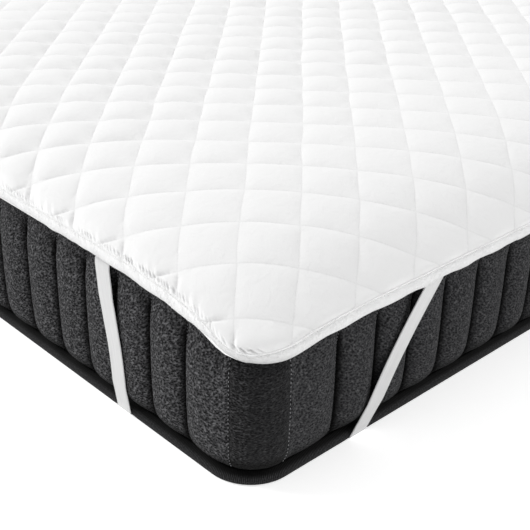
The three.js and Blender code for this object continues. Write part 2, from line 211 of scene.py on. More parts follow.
def band_faces(first: int, second: int, count: int) -> list[tuple[int, int, int, int]]:
    """Faces between two rings of corners.

    Args:
        first: Number of the first ring's first corner.
        second: Number of the second ring's first corner.
        count: Corners in each ring.
    Returns:
        One four-sided face for each step round the rings.
    """
    after = [(i + 1) % count for i in range(count)]
    return [(first + i, first + after[i], second + after[i], second + i) for i in range(count)]


def ring_faces(rings: int, count: int, start: int = 0, looped: bool = False) -> list[tuple[int, ...]]:
    """Faces of a surface made of rings one after another.

    Args:
        rings: Number of rings.
        count: Corners in each ring.
        start: Number of the first corner.
        looped: Whether the last ring joins the first.
    Returns:
        The faces.
    """
    faces: list[tuple[int, ...]] = []
    for ring in range(rings if looped else rings - 1):
        following = (ring + 1) % rings
        faces += band_faces(start + ring * count, start + following * count, count)
    return faces


def fan_faces(first: int, count: int, middle: int) -> list[tuple[int, int, int]]:
    """Three-sided faces between a ring of corners and one in its middle."""
    return [(first + i, first + (i + 1) % count, middle) for i in range(count)]


# ---- Shape of the draped cloth -------------------------------------------------------------------------


@dataclass
class Rim:
    """Stations of the rim, the line where the mattress's top turns down."""

    x: Array
    y: Array
    nx: Array
    ny: Array
    from_corner: Array

    def plan(self, out: Array | float) -> Array:
        """Points of the plan at a distance out of the rim line."""
        return np.stack([self.x + self.nx * out, self.y + self.ny * out], -1)

    def moved(self, out: Array | float, z: Array | float) -> Array:
        """Points at a distance out of the rim line and at a height."""
        flat = self.plan(out)
        return np.concatenate([flat, np.broadcast_to(z, flat.shape[:-1])[..., None]], -1)


@dataclass
class Drape:
    """How the protector lies on the mattress, in millimetres.

    The cloth is flat in the middle and falls by `drop` towards each edge over a length `reach`. Past the
    rim it keeps its slope until the last `fall` before the hem, turns plumb over the `curl`, and hangs.
    """

    half_width: float
    half_length: float
    crown: float
    radius: float = 52.0
    inner_radius: float = 12.0
    drop: float = 52.0
    reach: float = 71.0
    corner_ease: float = 0.006
    hang_right: float = 49.9
    hang_left: float = 40.0
    hang_foot: float = 24.1
    hang_head: float = 34.0
    hang_corner: float = 35.8
    blend_side: float = 110.0
    blend_end: float = 35.0
    fall: float = 26.0
    curl: float = 17.0
    binding: float = 18.0
    corner_roll: float = 6.0
    roll_reach: float = 26.0
    arc_width: Array = field(init=False)
    arc_length: Array = field(init=False)
    profile: Array = field(init=False)

    def __post_init__(self) -> None:
        """Measures the cloth's length across its width and along its length."""
        self.profile = np.linspace(0, 1, 6001)
        self.arc_width = self._arc(self.half_width)
        self.arc_length = self._arc(self.half_length)

    def fallen(self, near: Array, far: Array) -> Array:
        """How far the cloth has fallen at insets from two opposite rims."""
        return self.drop * (np.exp(-near / self.reach) + np.exp(-far / self.reach))

    def _arc(self, half: float) -> Array:
        """Length of cloth from one rim to each share of the way across."""
        inset = self.profile * 2 * half
        fall = self.fallen(inset, 2 * half - inset)
        return np.append(0.0, np.cumsum(np.hypot(np.diff(inset), np.diff(fall))))

    def cloth_length(self, inset: Array, half: float, arc: Array) -> Array:
        """Length of cloth from a rim to an inset from it; outside the rim it's the inset itself."""
        return np.where(inset < 0, inset, np.interp(inset, self.profile * 2 * half, arc))

    def inset_of(self, length: Array, half: float, arc: Array) -> Array:
        """Inset from a rim at a length of cloth from it, the reverse of cloth_length."""
        over = length - arc[-1]
        inside = np.interp(length, arc, self.profile * 2 * half)
        return np.where(length < 0, length, np.where(over > 0, 2 * half + over, inside))

    def top_height(self, x: Array, y: Array) -> Array:
        """Height of the cloth's seams over a point inside the rim."""
        across = self.fallen(self.half_width - x, self.half_width + x)
        along = self.fallen(self.half_length - y, self.half_length + y)
        return self.crown - across - along + self.corner_ease * across * along

    def top_normal(self, x: Array, y: Array) -> Array:
        """Upward normal of the cloth over a point inside the rim."""
        step = 0.01
        slope_x = (self.top_height(x + step, y) - self.top_height(x - step, y)) / (2 * step)
        slope_y = (self.top_height(x, y + step) - self.top_height(x, y - step)) / (2 * step)
        return unit(np.stack([-slope_x, -slope_y, np.ones_like(slope_x)], -1))

    @property
    def quarter(self) -> float:
        """Half the length of a corner arc of the rim."""
        return self.radius * math.pi / 4

    @property
    def perimeter(self) -> float:
        """Length of the rim."""
        return 8 * self.quarter + 4 * (self.half_width + self.half_length - 2 * self.radius)

    @property
    def flat_size(self) -> tuple[float, float]:
        """Width and length of the cloth laid flat."""
        width = self.arc_width[-1] + self.hang_right + self.hang_left
        return width, self.arc_length[-1] + self.hang_foot + self.hang_head

    def past(self, along: Array, place: Array | float) -> Array:
        """Distance round the rim past a place, the shorter way; less than 0 before it."""
        return np.mod(along - place + self.perimeter / 2, self.perimeter) - self.perimeter / 2

    def uncovered(self, rim: Rim) -> Array:
        """Length of cloth between the rim and the binding at each station."""
        return self.hang_at(rim) - self.binding_at(rim)

    def rim_at(self, along: Array, inset: float = 0.0) -> Rim:
        """Stations of the rim.

        Args:
            along: Distances round the rim from the middle of the foot end's right corner, towards the
                head end along the right side.
            inset: How far the line is moved inwards.
        Returns:
            The stations.
        """
        radius = max(self.radius - inset, self.inner_radius)
        centre = np.array([self.half_width - self.radius, self.half_length - self.radius])
        spot = centre + self.radius - inset - radius
        rest = np.mod(np.asarray(along, float) + self.quarter, self.perimeter)
        x, y, nx, ny, away = (np.zeros_like(rest) for _ in range(5))
        start = 0.0
        for corner, (sx, sy) in enumerate(((1, -1), (1, 1), (-1, 1), (-1, -1))):
            turn = (corner - 1) * math.pi / 2
            straight = 2 * (centre[1] if corner % 2 == 0 else centre[0])
            past = rest - start
            on_arc = (past >= 0) & (past < 2 * self.quarter)
            angle = turn + past / self.radius
            x = np.where(on_arc, sx * spot[0] + radius * np.cos(angle), x)
            y = np.where(on_arc, sy * spot[1] + radius * np.sin(angle), y)
            nx, ny = np.where(on_arc, np.cos(angle), nx), np.where(on_arc, np.sin(angle), ny)
            away = np.where(on_arc, np.abs(past - self.quarter), away)
            past = past - 2 * self.quarter
            on_side = (past >= 0) & (past < straight)
            out_x, out_y = round(math.cos(turn + math.pi / 2)), round(math.sin(turn + math.pi / 2))
            share = past / straight * 2 - 1
            reach_x, reach_y = spot[0] + radius, spot[1] + radius
            side_x = out_x * reach_x if out_x else -out_y * spot[0] * share
            side_y = out_y * reach_y if out_y else out_x * spot[1] * share
            x, y = np.where(on_side, side_x, x), np.where(on_side, side_y, y)
            nx, ny = np.where(on_side, out_x, nx), np.where(on_side, out_y, ny)
            nearest = self.quarter + np.minimum(past, straight - past)
            away = np.where(on_side, nearest, away)
            start += 2 * self.quarter + straight
        return Rim(x, y, nx, ny, away)

    def nearest(self, x: Array, y: Array) -> tuple[Rim, Array, Array]:
        """Nearest station of the rim to each point of the plan.

        Args:
            x: Points of the plan, where the cloth past the rim is laid out flat.
            y: Their other coordinate.
        Returns:
            The stations, each point's distance out of the rim, and its distance round the rim.
        """
        cx, cy = self.half_width - self.radius, self.half_length - self.radius
        ax, ay = np.maximum(np.abs(x) - cx, 0), np.maximum(np.abs(y) - cy, 0)
        far = np.hypot(ax, ay)
        out = far - self.radius
        safe = np.maximum(far, 1e-9)
        nx, ny = np.sign(x) * ax / safe, np.sign(y) * ay / safe
        base_x, base_y = x - nx * out, y - ny * out
        angle = np.arctan2(ay, ax)
        on_arc = (ax > 0) & (ay > 0)
        on_side = np.where(ax > 0, cy - np.abs(y), cx - np.abs(x))
        away = np.where(on_arc, self.radius * np.abs(angle - math.pi / 4), self.quarter + on_side)
        width, length = 2 * cx, 2 * cy
        turn = np.arctan2(ny, nx)
        arc = 2 * self.quarter
        along = np.select(
            [
                on_arc & (x > 0) & (y < 0), (ax > 0) & ~on_arc & (x > 0), on_arc & (x > 0),
                (ay > 0) & ~on_arc & (y > 0), on_arc & (y > 0), (ax > 0) & ~on_arc, on_arc,
            ],
            [
                (turn + math.pi / 2) * self.radius, arc + base_y + cy,
                arc + length + turn * self.radius, 2 * arc + length + cx - base_x,
                2 * arc + length + width + (turn - math.pi / 2) * self.radius,
                3 * arc + length + width + cy - base_y,
                3 * arc + 2 * length + width + (turn + math.pi) * self.radius,
            ],
            4 * arc + 2 * length + width + base_x + cx,
        )
        along = np.mod(along - self.quarter, self.perimeter)
        return Rim(base_x, base_y, nx, ny, away), out, along

    def hang_at(self, rim: Rim) -> Array:
        """Length of cloth past the rim at each station."""
        sideways = np.where(rim.nx > 0, self.hang_right, self.hang_left)
        lengthways = np.where(rim.ny > 0, self.hang_head, self.hang_foot)
        side = sideways * rim.nx**2 + lengthways * rim.ny**2
        blend = np.maximum(self.blend_side * rim.nx**2 + self.blend_end * rim.ny**2, 1)
        return side + (self.hang_corner - side) * np.exp(-rim.from_corner / blend)

    def binding_at(self, rim: Rim) -> Array:
        """Visible height of the binding at each station: it rolls under as it turns a corner."""
        return self.binding - self.corner_roll * np.exp(-((rim.from_corner / self.roll_reach) ** 2))

    def slope_at(self, rim: Rim) -> Array:
        """Angle of the cloth over the rim at each station."""
        step = 0.01
        outside = self.top_height(rim.x + rim.nx * step, rim.y + rim.ny * step)
        inside = self.top_height(rim.x - rim.nx * step, rim.y - rim.ny * step)
        return np.arctan((inside - outside) / (2 * step))

    def hanging(self, rim: Rim, hang: Array | float, depth: Array | float) -> Array:
        """Points of the cloth past the rim.

        Args:
            rim: Stations of the rim.
            hang: Cloth between the rim and each point.
            depth: Depth under the cloth's outer face.
        Returns:
            One row for each point.
        """
        start = self.slope_at(rim)
        run = np.maximum(self.hang_at(rim) - self.fall, 0)
        bend = (math.pi / 2 - start) / self.curl
        sloping, past = np.minimum(hang, run), np.maximum(hang - run, 0)
        tilt = start + bend * np.minimum(past, self.curl)
        out = sloping * np.cos(start) + (np.sin(tilt) - np.sin(start)) / bend - depth * np.sin(tilt)
        down = sloping * np.sin(start) + (np.cos(start) - np.cos(tilt)) / bend
        down = down + np.maximum(past - self.curl, 0) + depth * np.cos(tilt)
        return rim.moved(out, self.top_height(rim.x, rim.y) - down)

    def surface(self, x: Array, y: Array, depth: Array | float) -> Array:
        """Points of the cloth over the plan.

        Args:
            x: Points of the plan, where the cloth past the rim is laid out flat.
            y: Their other coordinate.
            depth: Depth under the cloth's seams; less than 0 is proud of them.
        Returns:
            One row for each point.
        """
        rim, out, _ = self.nearest(x, y)
        depth = np.broadcast_to(np.asarray(depth, float), np.shape(x))
        inside = np.stack([x, y, self.top_height(x, y)], -1)
        inside = inside - self.top_normal(x, y) * depth[:, None]
        outside = self.hanging(rim, np.maximum(out, 0), depth)
        return np.where((out > 0)[:, None], outside, inside)

    def hem(self, rim: Rim) -> Array:
        """Height of the hem's lower edge at each station."""
        return self.hanging(rim, self.hang_at(rim), 0.0)[:, 2]


# ---- Mattress border -----------------------------------------------------------------------------------


@dataclass
class BorderShape:
    """Quilted border of the mattress: upright channels between seams, in millimetres."""

    drape: Drape
    pitch: float = 61.5
    jitter: float = 3.5
    seam_depth: float = 13.0
    panel_depth: float = 3.0
    panel_fade: float = 14.0
    crest: float = 13.6
    tucked: float = -4.0
    bottom: float = 17.0
    tuck_height: float = 28.0
    seam_tuck_height: float = 30.0
    hem_gap: float = 2.0
    # How far a seam lies behind the hem, how far a crest stands out of that, and its share of the run.
    behind_hem: tuple[float, float, float] = (-1.3, 1.8, 0.4)
    # Part of a sine's arch that a crest follows from the tape to the hem, and how far it falls away.
    arch: tuple[float, float] = (0.16, 0.72)
    arch_fall: float = 3.0
    foot_fall: float = 2.0
    foot_level: float = 0.4
    uneven: float = 0.10
    recess_height: float = 46.0
    panel_recess: float = 22.0
    # Painted shade in the hollows starts and is deepest at these depths under a crest; it is lifted off the
    # flank that the light falls on.
    hollow_depths: tuple[float, float] = (4.2, 11.6)
    flank_lift: float = 4.5
    flank: tuple[float, float] = (0.3, 0.5)
    # Shade at the border's foot: how high it rises and how deep it is.
    foot_shade: float = 26.0
    foot_dark: float = 0.95
    # Height over the hem from which the border comes out, and over which the painted shade of its hollows
    # fades in.
    behind_from: float = 4.0
    hidden_over: float = 30.0
    # Round of a channel: shares of a full and a blunt curve, the nip at its seams and that nip's reach.
    full_round: float = 0.58
    blunt_round: float = 0.42
    nip: float = 0.38
    nip_reach: float = 2.0
    corner_seams: tuple[float, float] = (-18.3, 39.2)
    foot_seams: tuple[float, ...] = (-465.0, -400.0, -334.5, -272.0, -210.0, -148.5, -86.5)
    side_seams: tuple[float, ...] = (117.0, 180.0, 239.5, 302.0, 366.0, 430.5)
    seams: Array = field(init=False)
    panels: Array = field(init=False)

    def __post_init__(self) -> None:
        """Places every seam round the border."""
        drape, random = self.drape, np.random.default_rng(11)
        width = 2 * (drape.half_width - drape.radius) + 2 * drape.quarter
        length = 2 * (drape.half_length - drape.radius) + 2 * drape.quarter
        corners = [length, length + width, 2 * length + width, drape.perimeter]
        seams, panels = [*self.corner_seams, *self.side_seams], [0]
        for number, following in enumerate(corners):
            first = seams[-1]
            last = following + self.corner_seams[0]
            if number == 3:
                last = following + self.foot_seams[0]
            steps = max(round((last - first) / self.pitch), 1)
            inner = first + (last - first) * np.arange(1, steps) / steps
            seams += list(inner + random.uniform(-self.jitter, self.jitter, steps - 1))
            if number < 3:
                panels.append(len(seams))
                seams += [last, following + self.corner_seams[1]]
            else:
                seams += [following + seam for seam in self.foot_seams]
        self.seams = np.array(seams)
        self.panels = np.array(panels)

    def channel(self, along: Array) -> tuple[Array, Array, Array]:
        """Which channel a point of the border is in.

        Args:
            along: Distances round the rim.
        Returns:
            The channel's number, the share of the way across it, and 1 where it is a corner panel.
        """
        along = np.mod(along - self.seams[0], self.drape.perimeter) + self.seams[0]
        number = np.clip(np.searchsorted(self.seams, along, side="right") - 1, 0, len(self.seams) - 1)
        ends = np.append(self.seams, self.seams[0] + self.drape.perimeter)
        share = (along - ends[number]) / (ends[number + 1] - ends[number])
        return number, share, np.isin(number, self.panels).astype(float)

    def offset(
        self, along: Array, z: Array, hem: Array, puffed: Array | float, recess: Array | None = None
    ) -> Array:
        """How far the border stands out of the rim line.

        Args:
            along: Distances round the rim.
            z: Heights.
            hem: Height of the hem at each point.
            puffed: 0 at a seam to 1 on the crest of a channel.
            recess: Height below the hem over which the border comes out from behind it, if it isn't
                that of a channel.
        Returns:
            One distance for each point.
        """
        level = self.level(z, hem)
        reach = self.recess_height if recess is None else recess
        under_hem = smooth_step(hem + self.behind_from - z, 0, reach)
        number, _, _ = self.channel(along)
        plump = 1 + self.uneven * Unevenness(5).at(number * 1.7, level * 1.5)
        belly = self.belly(level)
        crest = self.tucked + (belly * plump - self.tucked) * self.tuck(z, self.tuck_height)
        depth = self.seam_depth + (self.panel_depth - self.seam_depth) * self.flatness(along)
        seam = self.tucked + (belly - depth - self.tucked) * self.tuck(z, self.seam_tuck_height)
        out = seam + (crest - seam) * puffed
        run = np.maximum(self.drape.hang_at(self.drape.rim_at(along)) - self.drape.fall, 0)
        seam_behind, crest_out, run_share = self.behind_hem
        behind = seam_behind + crest_out * np.asarray(puffed) + run_share * run
        return behind + (out - behind) * under_hem

    def level(self, z: Array, hem: Array) -> Array:
        """Share of the way up the border, from 0 at the tape to 1 just under the hem."""
        return np.clip((z - self.bottom) / (hem - self.hem_gap - self.bottom), 0, 1)

    def tuck(self, z: Array, height: float) -> Array:
        """Round of the border's foot, from 0 at its bottom to 1 at a height over that."""
        return np.sqrt(np.clip(1 - (1 - np.clip((z - self.bottom) / height, 0, 1)) ** 2, 0, 1))

    def recess(self, along: Array) -> Array:
        """Height below the hem over which the border comes out from behind it: less on a corner panel."""
        return self.recess_height - self.panel_recess * self.flatness(along)

    def belly(self, level: Array) -> Array:
        """How far the channels' crests stand out, from level 0 at the tape to 1 at the hem."""
        low, share = self.arch
        arched = self.arch_fall * (1 - np.sin(np.pi * (low + share * level)))
        return self.crest - arched - self.foot_fall * np.clip(1 - level / self.foot_level, 0, 1) ** 2

    def hollow_shade(self, z: Array, hem: Array, out: Array, share: Array) -> Array:
        """How much painted shade each point of the border takes, in its hollows and at its foot.

        Args:
            z: Heights.
            hem: Height of the hem at each point.
            out: How far the border stands out there.
            share: Share of the way across the channel.
        Returns:
            For each point, 0 on a crest to 1 deep in a seam or at the border's foot.
        """
        # Painted shade is lifted off the flank of a channel that the light falls on, down to its seam.
        leading = self.flank_lift * (1 - smooth_step(share, *self.flank))
        depth = self.belly(self.level(z, hem)) - out - leading
        clear = smooth_step(hem + self.behind_from - z, 0, self.hidden_over)
        at_foot = self.foot_dark * (1 - smooth_step(z - self.bottom, 0, self.foot_shade))
        return np.maximum(smooth_step(depth, *self.hollow_depths) * clear, at_foot)

    def flatness(self, along: Array) -> Array:
        """How flat the border lies: 1 on a corner panel, fading to 0 a little way past its seams."""
        first, last = self.seams[self.panels], self.seams[self.panels + 1]
        from_middle = np.abs(self.drape.past(np.asarray(along)[..., None], (first + last) / 2))
        return 1 - smooth_step((from_middle - (last - first) / 2).min(-1), 1.0, self.panel_fade)

    def puff(self, share: Array) -> Array:
        """Round of a channel across its width, about 0 at its seams and 1 in the middle."""
        swollen = 1 - np.abs(2 * share - 1) ** 2
        from_seam = np.minimum(share, 1 - share) * self.pitch
        full = self.full_round * swollen + self.blunt_round * np.maximum(swollen, 0) ** 0.3
        return full - self.nip * np.exp(-((from_seam / self.nip_reach) ** 2))


# ---- Finishes ------------------------------------------------------------------------------------------


@dataclass(frozen=True)
class Finish:
    """A procedural cloth finish. Sizes are in metres, because the coordinates are."""

    name: str
    colour: str
    roughness: float
    gloss: float = 0.3
    sheen: float = 0.0
    sheen_roughness: float = 0.5

    def build(self) -> bpy.types.Material:
        """Makes the material."""
        material = bpy.data.materials.new(self.name)
        material.use_nodes = True
        tree = material.node_tree
        constants = {
            "Base Color": linear(self.colour), "Roughness": self.roughness, "Specular IOR Level": self.gloss,
            "Sheen Weight": self.sheen, "Sheen Roughness": self.sheen_roughness,
        }
        for inputs in (constants, self.pattern(partial(add_node, tree))):
            connect(tree, tree.nodes["Principled BSDF"], inputs)
        return material

    def pattern(self, add: NodeMaker) -> dict[str, bpy.types.Node]:
        """Adds the pattern's nodes.

        Args:
            add: Adds a node to the material, as add_node does.
        Returns:
            What drives the shader's inputs.
        """
        raise NotImplementedError

    @staticmethod
    def relief(add: NodeMaker, *layers: tuple[bpy.types.Node, float, float]) -> bpy.types.Node:
        """Lays bumps one over another.

        Args:
            add: Adds a node to the material, as add_node does.
            layers: For each, what gives its height, its strength and its depth; below 0 it's sunk.
        Returns:
            The topmost bump.
        """
        under: dict[str, bpy.types.Node] = {}
        for height, strength, depth in layers:
            sizes = {"Height": height, "Strength": strength, "Distance": abs(depth)}
            under = {"Normal": add("ShaderNodeBump", {**sizes, **under}, invert=depth < 0)}
        return under["Normal"]


@dataclass(frozen=True)
class QuiltedCotton(Finish):
    """Brushed white cotton over wadding, quilted in squares: dull and soft, with a fine even weave.

    The map counts quilting squares, so whole numbers are seams.
    """

    name: str = "brushed_cotton_quilted"
    colour: str = "#f1f1f1"
    roughness: float = 0.9
    sheen: float = 0.12
    sheen_roughness: float = 0.6
    seam_shade_colour: str = "#bababa"
    square: float = 0.0679
    stitch_pitch: float = 0.0042

    def pattern(self, add: NodeMaker) -> dict[str, bpy.types.Node]:
        """Weave, crinkles and needle lines."""
        cloth = add("ShaderNodeUVMap", uv_map="cloth")
        flat = add("ShaderNodeVectorMath", {0: cloth, 3: self.square}, operation="SCALE")
        # Weave: threads about 0.3 mm apart are too fine to show, so they are drawn 1.4 mm apart.
        weave = add("ShaderNodeTexNoise", {"Vector": flat, "Scale": 700.0, "Detail": 2.0})
        # Crinkles of the wadded cloth between its seams, about 12 mm apart.
        crinkle = add(
            "ShaderNodeTexNoise", {"Vector": flat, "Scale": 80.0, "Detail": 3.0, "Distortion": 0.6}
        )
        split = add("ShaderNodeSeparateXYZ", {0: cloth}).outputs
        stitches_in_square = self.square / self.stitch_pitch
        lines = []
        for across, along in (("X", "Y"), ("Y", "X")):
            nearest = add("ShaderNodeMath", {0: split[across]}, operation="ROUND")
            gap = add("ShaderNodeMath", {0: split[across], 1: nearest}, operation="SUBTRACT")
            away = add("ShaderNodeMath", {0: gap}, operation="ABSOLUTE")
            close = add(
                "ShaderNodeMapRange",
                {"Value": away, "From Min": 0.004, "From Max": 0.022, "To Min": 1.0, "To Max": 0.0},
            )
            turn = add(
                "ShaderNodeMath", {0: split[along], 1: 2 * math.pi * stitches_in_square}, operation="MULTIPLY"
            )
            wave = add("ShaderNodeMath", {0: turn}, operation="SINE")
            stitch = add(
                "ShaderNodeMapRange",
                {"Value": wave, "From Min": -0.6, "From Max": 0.6, "To Min": 0.7, "To Max": 1.0},
            )
            lines.append(add("ShaderNodeMath", {0: close, 1: stitch}, operation="MULTIPLY"))
        seam = add("ShaderNodeMath", dict(enumerate(lines)), operation="MAXIMUM")
        # The needle line holds the cloth down and gathers a little dust, so it reads as a thin grey line.
        # Painted shade: the needle line is greyed a little, in stitch-long dashes, for the shade in its
        # narrow groove.
        seam_shade = add("ShaderNodeMath", {0: seam, 1: 0.12}, operation="MULTIPLY")
        tones = {"Factor": seam_shade, "A": linear(self.colour), "B": linear(self.seam_shade_colour)}
        return {
            "Base Color": add("ShaderNodeMix", tones, data_type="RGBA"),
            "Normal": self.relief(add, (crinkle, 0.55, 0.0016), (weave, 0.25, 0.0003), (seam, 0.3, -0.0006)),
        }


@dataclass(frozen=True)
class BiasBinding(Finish):
    """Folded bias tape in plain white cotton: smoother than the quilted cloth, with a close weave."""

    name: str = "bias_tape_cotton"
    colour: str = "#f2f2f2"
    roughness: float = 0.78
    sheen: float = 0.08
    underside_shade_colour: str = "#0a0a0a"

    def pattern(self, add: NodeMaker) -> dict[str, bpy.types.Node]:
        """Puckers, crumples and weave, and the shade under the tape."""
        cloth = add("ShaderNodeUVMap", uv_map="cloth")
        # Puckers that the stitch line pulls across the tape, about 6 mm apart along it.
        stretched = add("ShaderNodeMapping", {"Vector": cloth, "Scale": (1.0, 0.45, 1.0)})
        pucker = add("ShaderNodeTexNoise", {"Vector": stretched, "Scale": 340.0, "Detail": 2.0})
        crumple = add("ShaderNodeTexNoise", {"Vector": cloth, "Scale": 620.0, "Detail": 1.0})
        # Threads about 0.4 mm apart, drawn 1.2 mm apart to show.
        thread = add(
            "ShaderNodeTexWave", {"Vector": cloth, "Scale": 130.0, "Distortion": 1.5},
            wave_type="BANDS", bands_direction="DIAGONAL",
        )
        # Painted shade: the tape greys a little where it rolls under to the dark border.
        under = add("ShaderNodeAttribute", attribute_name="underside_shade")
        tones = {"Factor": under, "A": linear(self.colour), "B": linear(self.underside_shade_colour)}
        layers = (pucker, 0.8, 0.0022), (crumple, 0.7, 0.0012), (thread, 0.12, 0.0002)
        return {
            "Base Color": add("ShaderNodeMix", tones, data_type="RGBA"), "Normal": self.relief(add, *layers)
        }


@dataclass(frozen=True)
class KnitElastic(Finish):
    """Knitted elastic: pale grey-white, a slight shine, fine ribs along it and tighter ones across."""

    name: str = "knitted_elastic"
    colour: str = "#dcdcdc"
    roughness: float = 0.62
    dark_yarn: str = "#cacaca"
    pale_yarn: str = "#e9e9e9"

    def pattern(self, add: NodeMaker) -> dict[str, bpy.types.Node]:
        """Yarns along the elastic and picks across it."""
        cloth = add("ShaderNodeUVMap", uv_map="cloth")
        # Picks across the elastic about 1 mm apart.
        pick = add(
            "ShaderNodeTexWave", {"Vector": cloth, "Scale": 160.0, "Distortion": 0.8},
            wave_type="BANDS", bands_direction="X",
        )
        streak = add("ShaderNodeMapping", {"Vector": cloth, "Scale": (12.0, 900.0, 1.0)})
        yarn = add("ShaderNodeTexNoise", {"Vector": streak, "Scale": 1.0, "Detail": 1.0})
        tones = {"Factor": yarn, "A": linear(self.dark_yarn), "B": linear(self.pale_yarn)}
        return {
            "Base Color": add("ShaderNodeMix", tones, data_type="RGBA"),
            "Normal": self.relief(add, (pick, 0.25, 0.0003)),
        }


@dataclass(frozen=True)
class BorderKnit(Finish):
    """Thick looped knit in mixed charcoal yarns: dull, with flecks 2 to 4 mm long and small dark pits."""

    name: str = "looped_knit_charcoal"
    colour: str = "#3a3a3b"
    roughness: float = 0.95
    gloss: float = 0.08
    sheen: float = 0.03
    shadow: str = "#010101"
    lean: float = 36.0
    loop_stretch: tuple[float, float, float] = (0.90, 1.40, 1.0)
    panel_stretch: tuple[float, float, float] = (1.0, 1.65, 1.0)
    # Tone of the mixed yarns from the darkest to the palest.
    yarns: tuple[tuple[float, str], ...] = (
        (0.46, "#0a0a0a"), (0.64, "#28282a"), (0.80, "#404041"), (1.04, "#68686a")
    )
    side_shade_tone: float = 0.635

    def pattern(self, add: NodeMaker) -> dict[str, bpy.types.Node]:
        """Loops, flecks and patches, and the painted shade of the seams."""
        cloth = add("ShaderNodeUVMap", uv_map="cloth")
        marks = ("corner_panel", "long_side", "hollow_shade")
        panel, side, hollow_shade = (add("ShaderNodeAttribute", attribute_name=label) for label in marks)
        # The loops lean one way along the ends and the other way along the sides.
        ends_lean = math.radians(self.lean)
        lean = add("ShaderNodeMath", {0: side, 1: -2 * ends_lean, 2: ends_lean}, operation="MULTIPLY_ADD")
        turned = add("ShaderNodeVectorRotate", {"Vector": cloth, "Angle": lean}, rotation_type="Z_AXIS")
        leaning = add("ShaderNodeMapping", {"Vector": turned, "Scale": self.loop_stretch})
        level = add("ShaderNodeMapping", {"Vector": cloth, "Scale": self.panel_stretch})
        where = add("ShaderNodeMix", {"Factor": panel, "A": leaning, "B": level}, data_type="VECTOR")
        # Each loop strays up to 3 mm from its row, and has a pit at its middle.
        stray = add("ShaderNodeTexNoise", {"Vector": where, "Scale": 230.0}, noise_dimensions="2D")
        shift = add("ShaderNodeVectorMath", {0: stray.outputs["Color"], 3: 0.0030}, operation="SCALE")
        bent = add("ShaderNodeVectorMath", {0: where, 1: shift}, operation="ADD")
        loop = add("ShaderNodeTexVoronoi", {"Vector": bent, "Scale": 235.0}, voronoi_dimensions="2D")
        wall = add(
            "ShaderNodeMapRange",
            {"Value": loop, "From Min": 0.10, "From Max": 0.44, "To Min": 0.0, "To Max": 1.0},
        )
        # Yarn colours change in flecks, and the pile in patches about 9 mm across.
        tone = add("ShaderNodeMath", {0: wall, 1: 0.30, 2: -0.036}, operation="MULTIPLY_ADD")
        for scale, detail, weight in ((300.0, 2.0, 0.74), (110.0, 1.0, 0.34)):
            sizes = {"Vector": where, "Scale": scale, "Detail": detail}
            fleck = add("ShaderNodeTexNoise", sizes, noise_dimensions="2D")
            tone = add("ShaderNodeMath", {0: fleck, 1: weight, 2: tone}, operation="MULTIPLY_ADD")
        # Painted shade: on the long sides the knit's tone is pulled partway to one slightly dark level,
        # flattening its pattern and bump, for the softer light there.
        side_shade = add("ShaderNodeMath", {0: side, 1: 0.35}, operation="MULTIPLY")
        tone = add("ShaderNodeMix", {"Factor": side_shade, "A": tone, "B": self.side_shade_tone}, data_type="FLOAT")
        shade = add("ShaderNodeValToRGB", {"Fac": tone})
        elements = shade.color_ramp.elements
        for place, (position, code) in enumerate(self.yarns):
            if place in (0, len(self.yarns) - 1):
                elements[-1 if place else 0].position = position
                elements[-1 if place else 0].color = linear(code)
            else:
                elements.new(position).color = linear(code)
        # Painted shade: the seams' hollows, the border's foot and the cover behind the tape are darkened
        # towards black; the corner panels are woven closer and darker.
        dull = add("ShaderNodeMath", {0: panel, 1: 0.55}, operation="MULTIPLY")
        shade_and_panel_dark = add("ShaderNodeMath", {0: hollow_shade, 1: 0.97, 2: dull}, operation="MULTIPLY_ADD", use_clamp=True)
        tones = {"Factor": shade_and_panel_dark, "A": shade, "B": linear(self.shadow)}
        return {
            "Base Color": add("ShaderNodeMix", tones, data_type="RGBA"),
            "Normal": self.relief(add, (tone, 1.0, 0.0028)),
        }


@dataclass(frozen=True)
class WovenTape(Finish):
    """Black polyester twill tape: a slight shine and ribs about 2 mm apart across it."""

    name: str = "twill_tape_black"
    colour: str = "#1d1d1e"
    roughness: float = 0.7
    gloss: float = 0.1
    furrow: str = "#0a0a0a"
    rib: str = "#505052"
    shadow: str = "#020202"

    def pattern(self, add: NodeMaker) -> dict[str, bpy.types.Node]:
        """Ribs and slubs of the weave, and the painted shade under the channels."""
        place = add("ShaderNodeUVMap", uv_map="cloth")
        # Ribs of the weave about 2 mm apart, across the tape.
        twill = add(
            "ShaderNodeTexWave", {"Vector": place, "Scale": 155.0, "Distortion": 1.2, "Detail": 1.0},
            wave_type="BANDS", bands_direction="X",
        )
        slub = add("ShaderNodeTexNoise", {"Vector": place, "Scale": 420.0}, noise_dimensions="2D")
        tone = add("ShaderNodeMath", {0: twill, 1: slub}, operation="MULTIPLY", use_clamp=True)
        tones = {"Factor": tone, "A": linear(self.furrow), "B": linear(self.rib)}
        woven = add("ShaderNodeMix", tones, data_type="RGBA")
        # Painted shade: the upper half of the roll, which lies in the dark under the channels, is darkened
        # towards black.
        height = add("ShaderNodeSeparateXYZ", {0: place}).outputs["Y"]
        shaded = add(
            "ShaderNodeMapRange",
            {"Value": height, "From Min": 0.0050, "From Max": 0.0110, "To Min": 0.95, "To Max": 0.0},
            interpolation_type="SMOOTHSTEP",
        )
        tones = {"Factor": shaded, "A": woven, "B": linear(self.shadow)}
        return {
            "Base Color": add("ShaderNodeMix", tones, data_type="RGBA"),
            "Normal": self.relief(add, (tone, 0.8, 0.0008)),
        }


@dataclass(frozen=True)
class SewingThread(Finish):
    """Spun polyester thread: twisted plies give it a soft shine."""

    roughness: float = 0.55

    def pattern(self, add: NodeMaker) -> dict[str, bpy.types.Node]:
        """Plies of the twist, about 0.8 mm apart."""
        place = add("ShaderNodeTexCoord").outputs["Object"]
        ply = add(
            "ShaderNodeTexWave", {"Vector": place, "Scale": 200.0},
            wave_type="BANDS", bands_direction="DIAGONAL",
        )
        return {"Normal": self.relief(add, (ply, 0.3, 0.0002))}


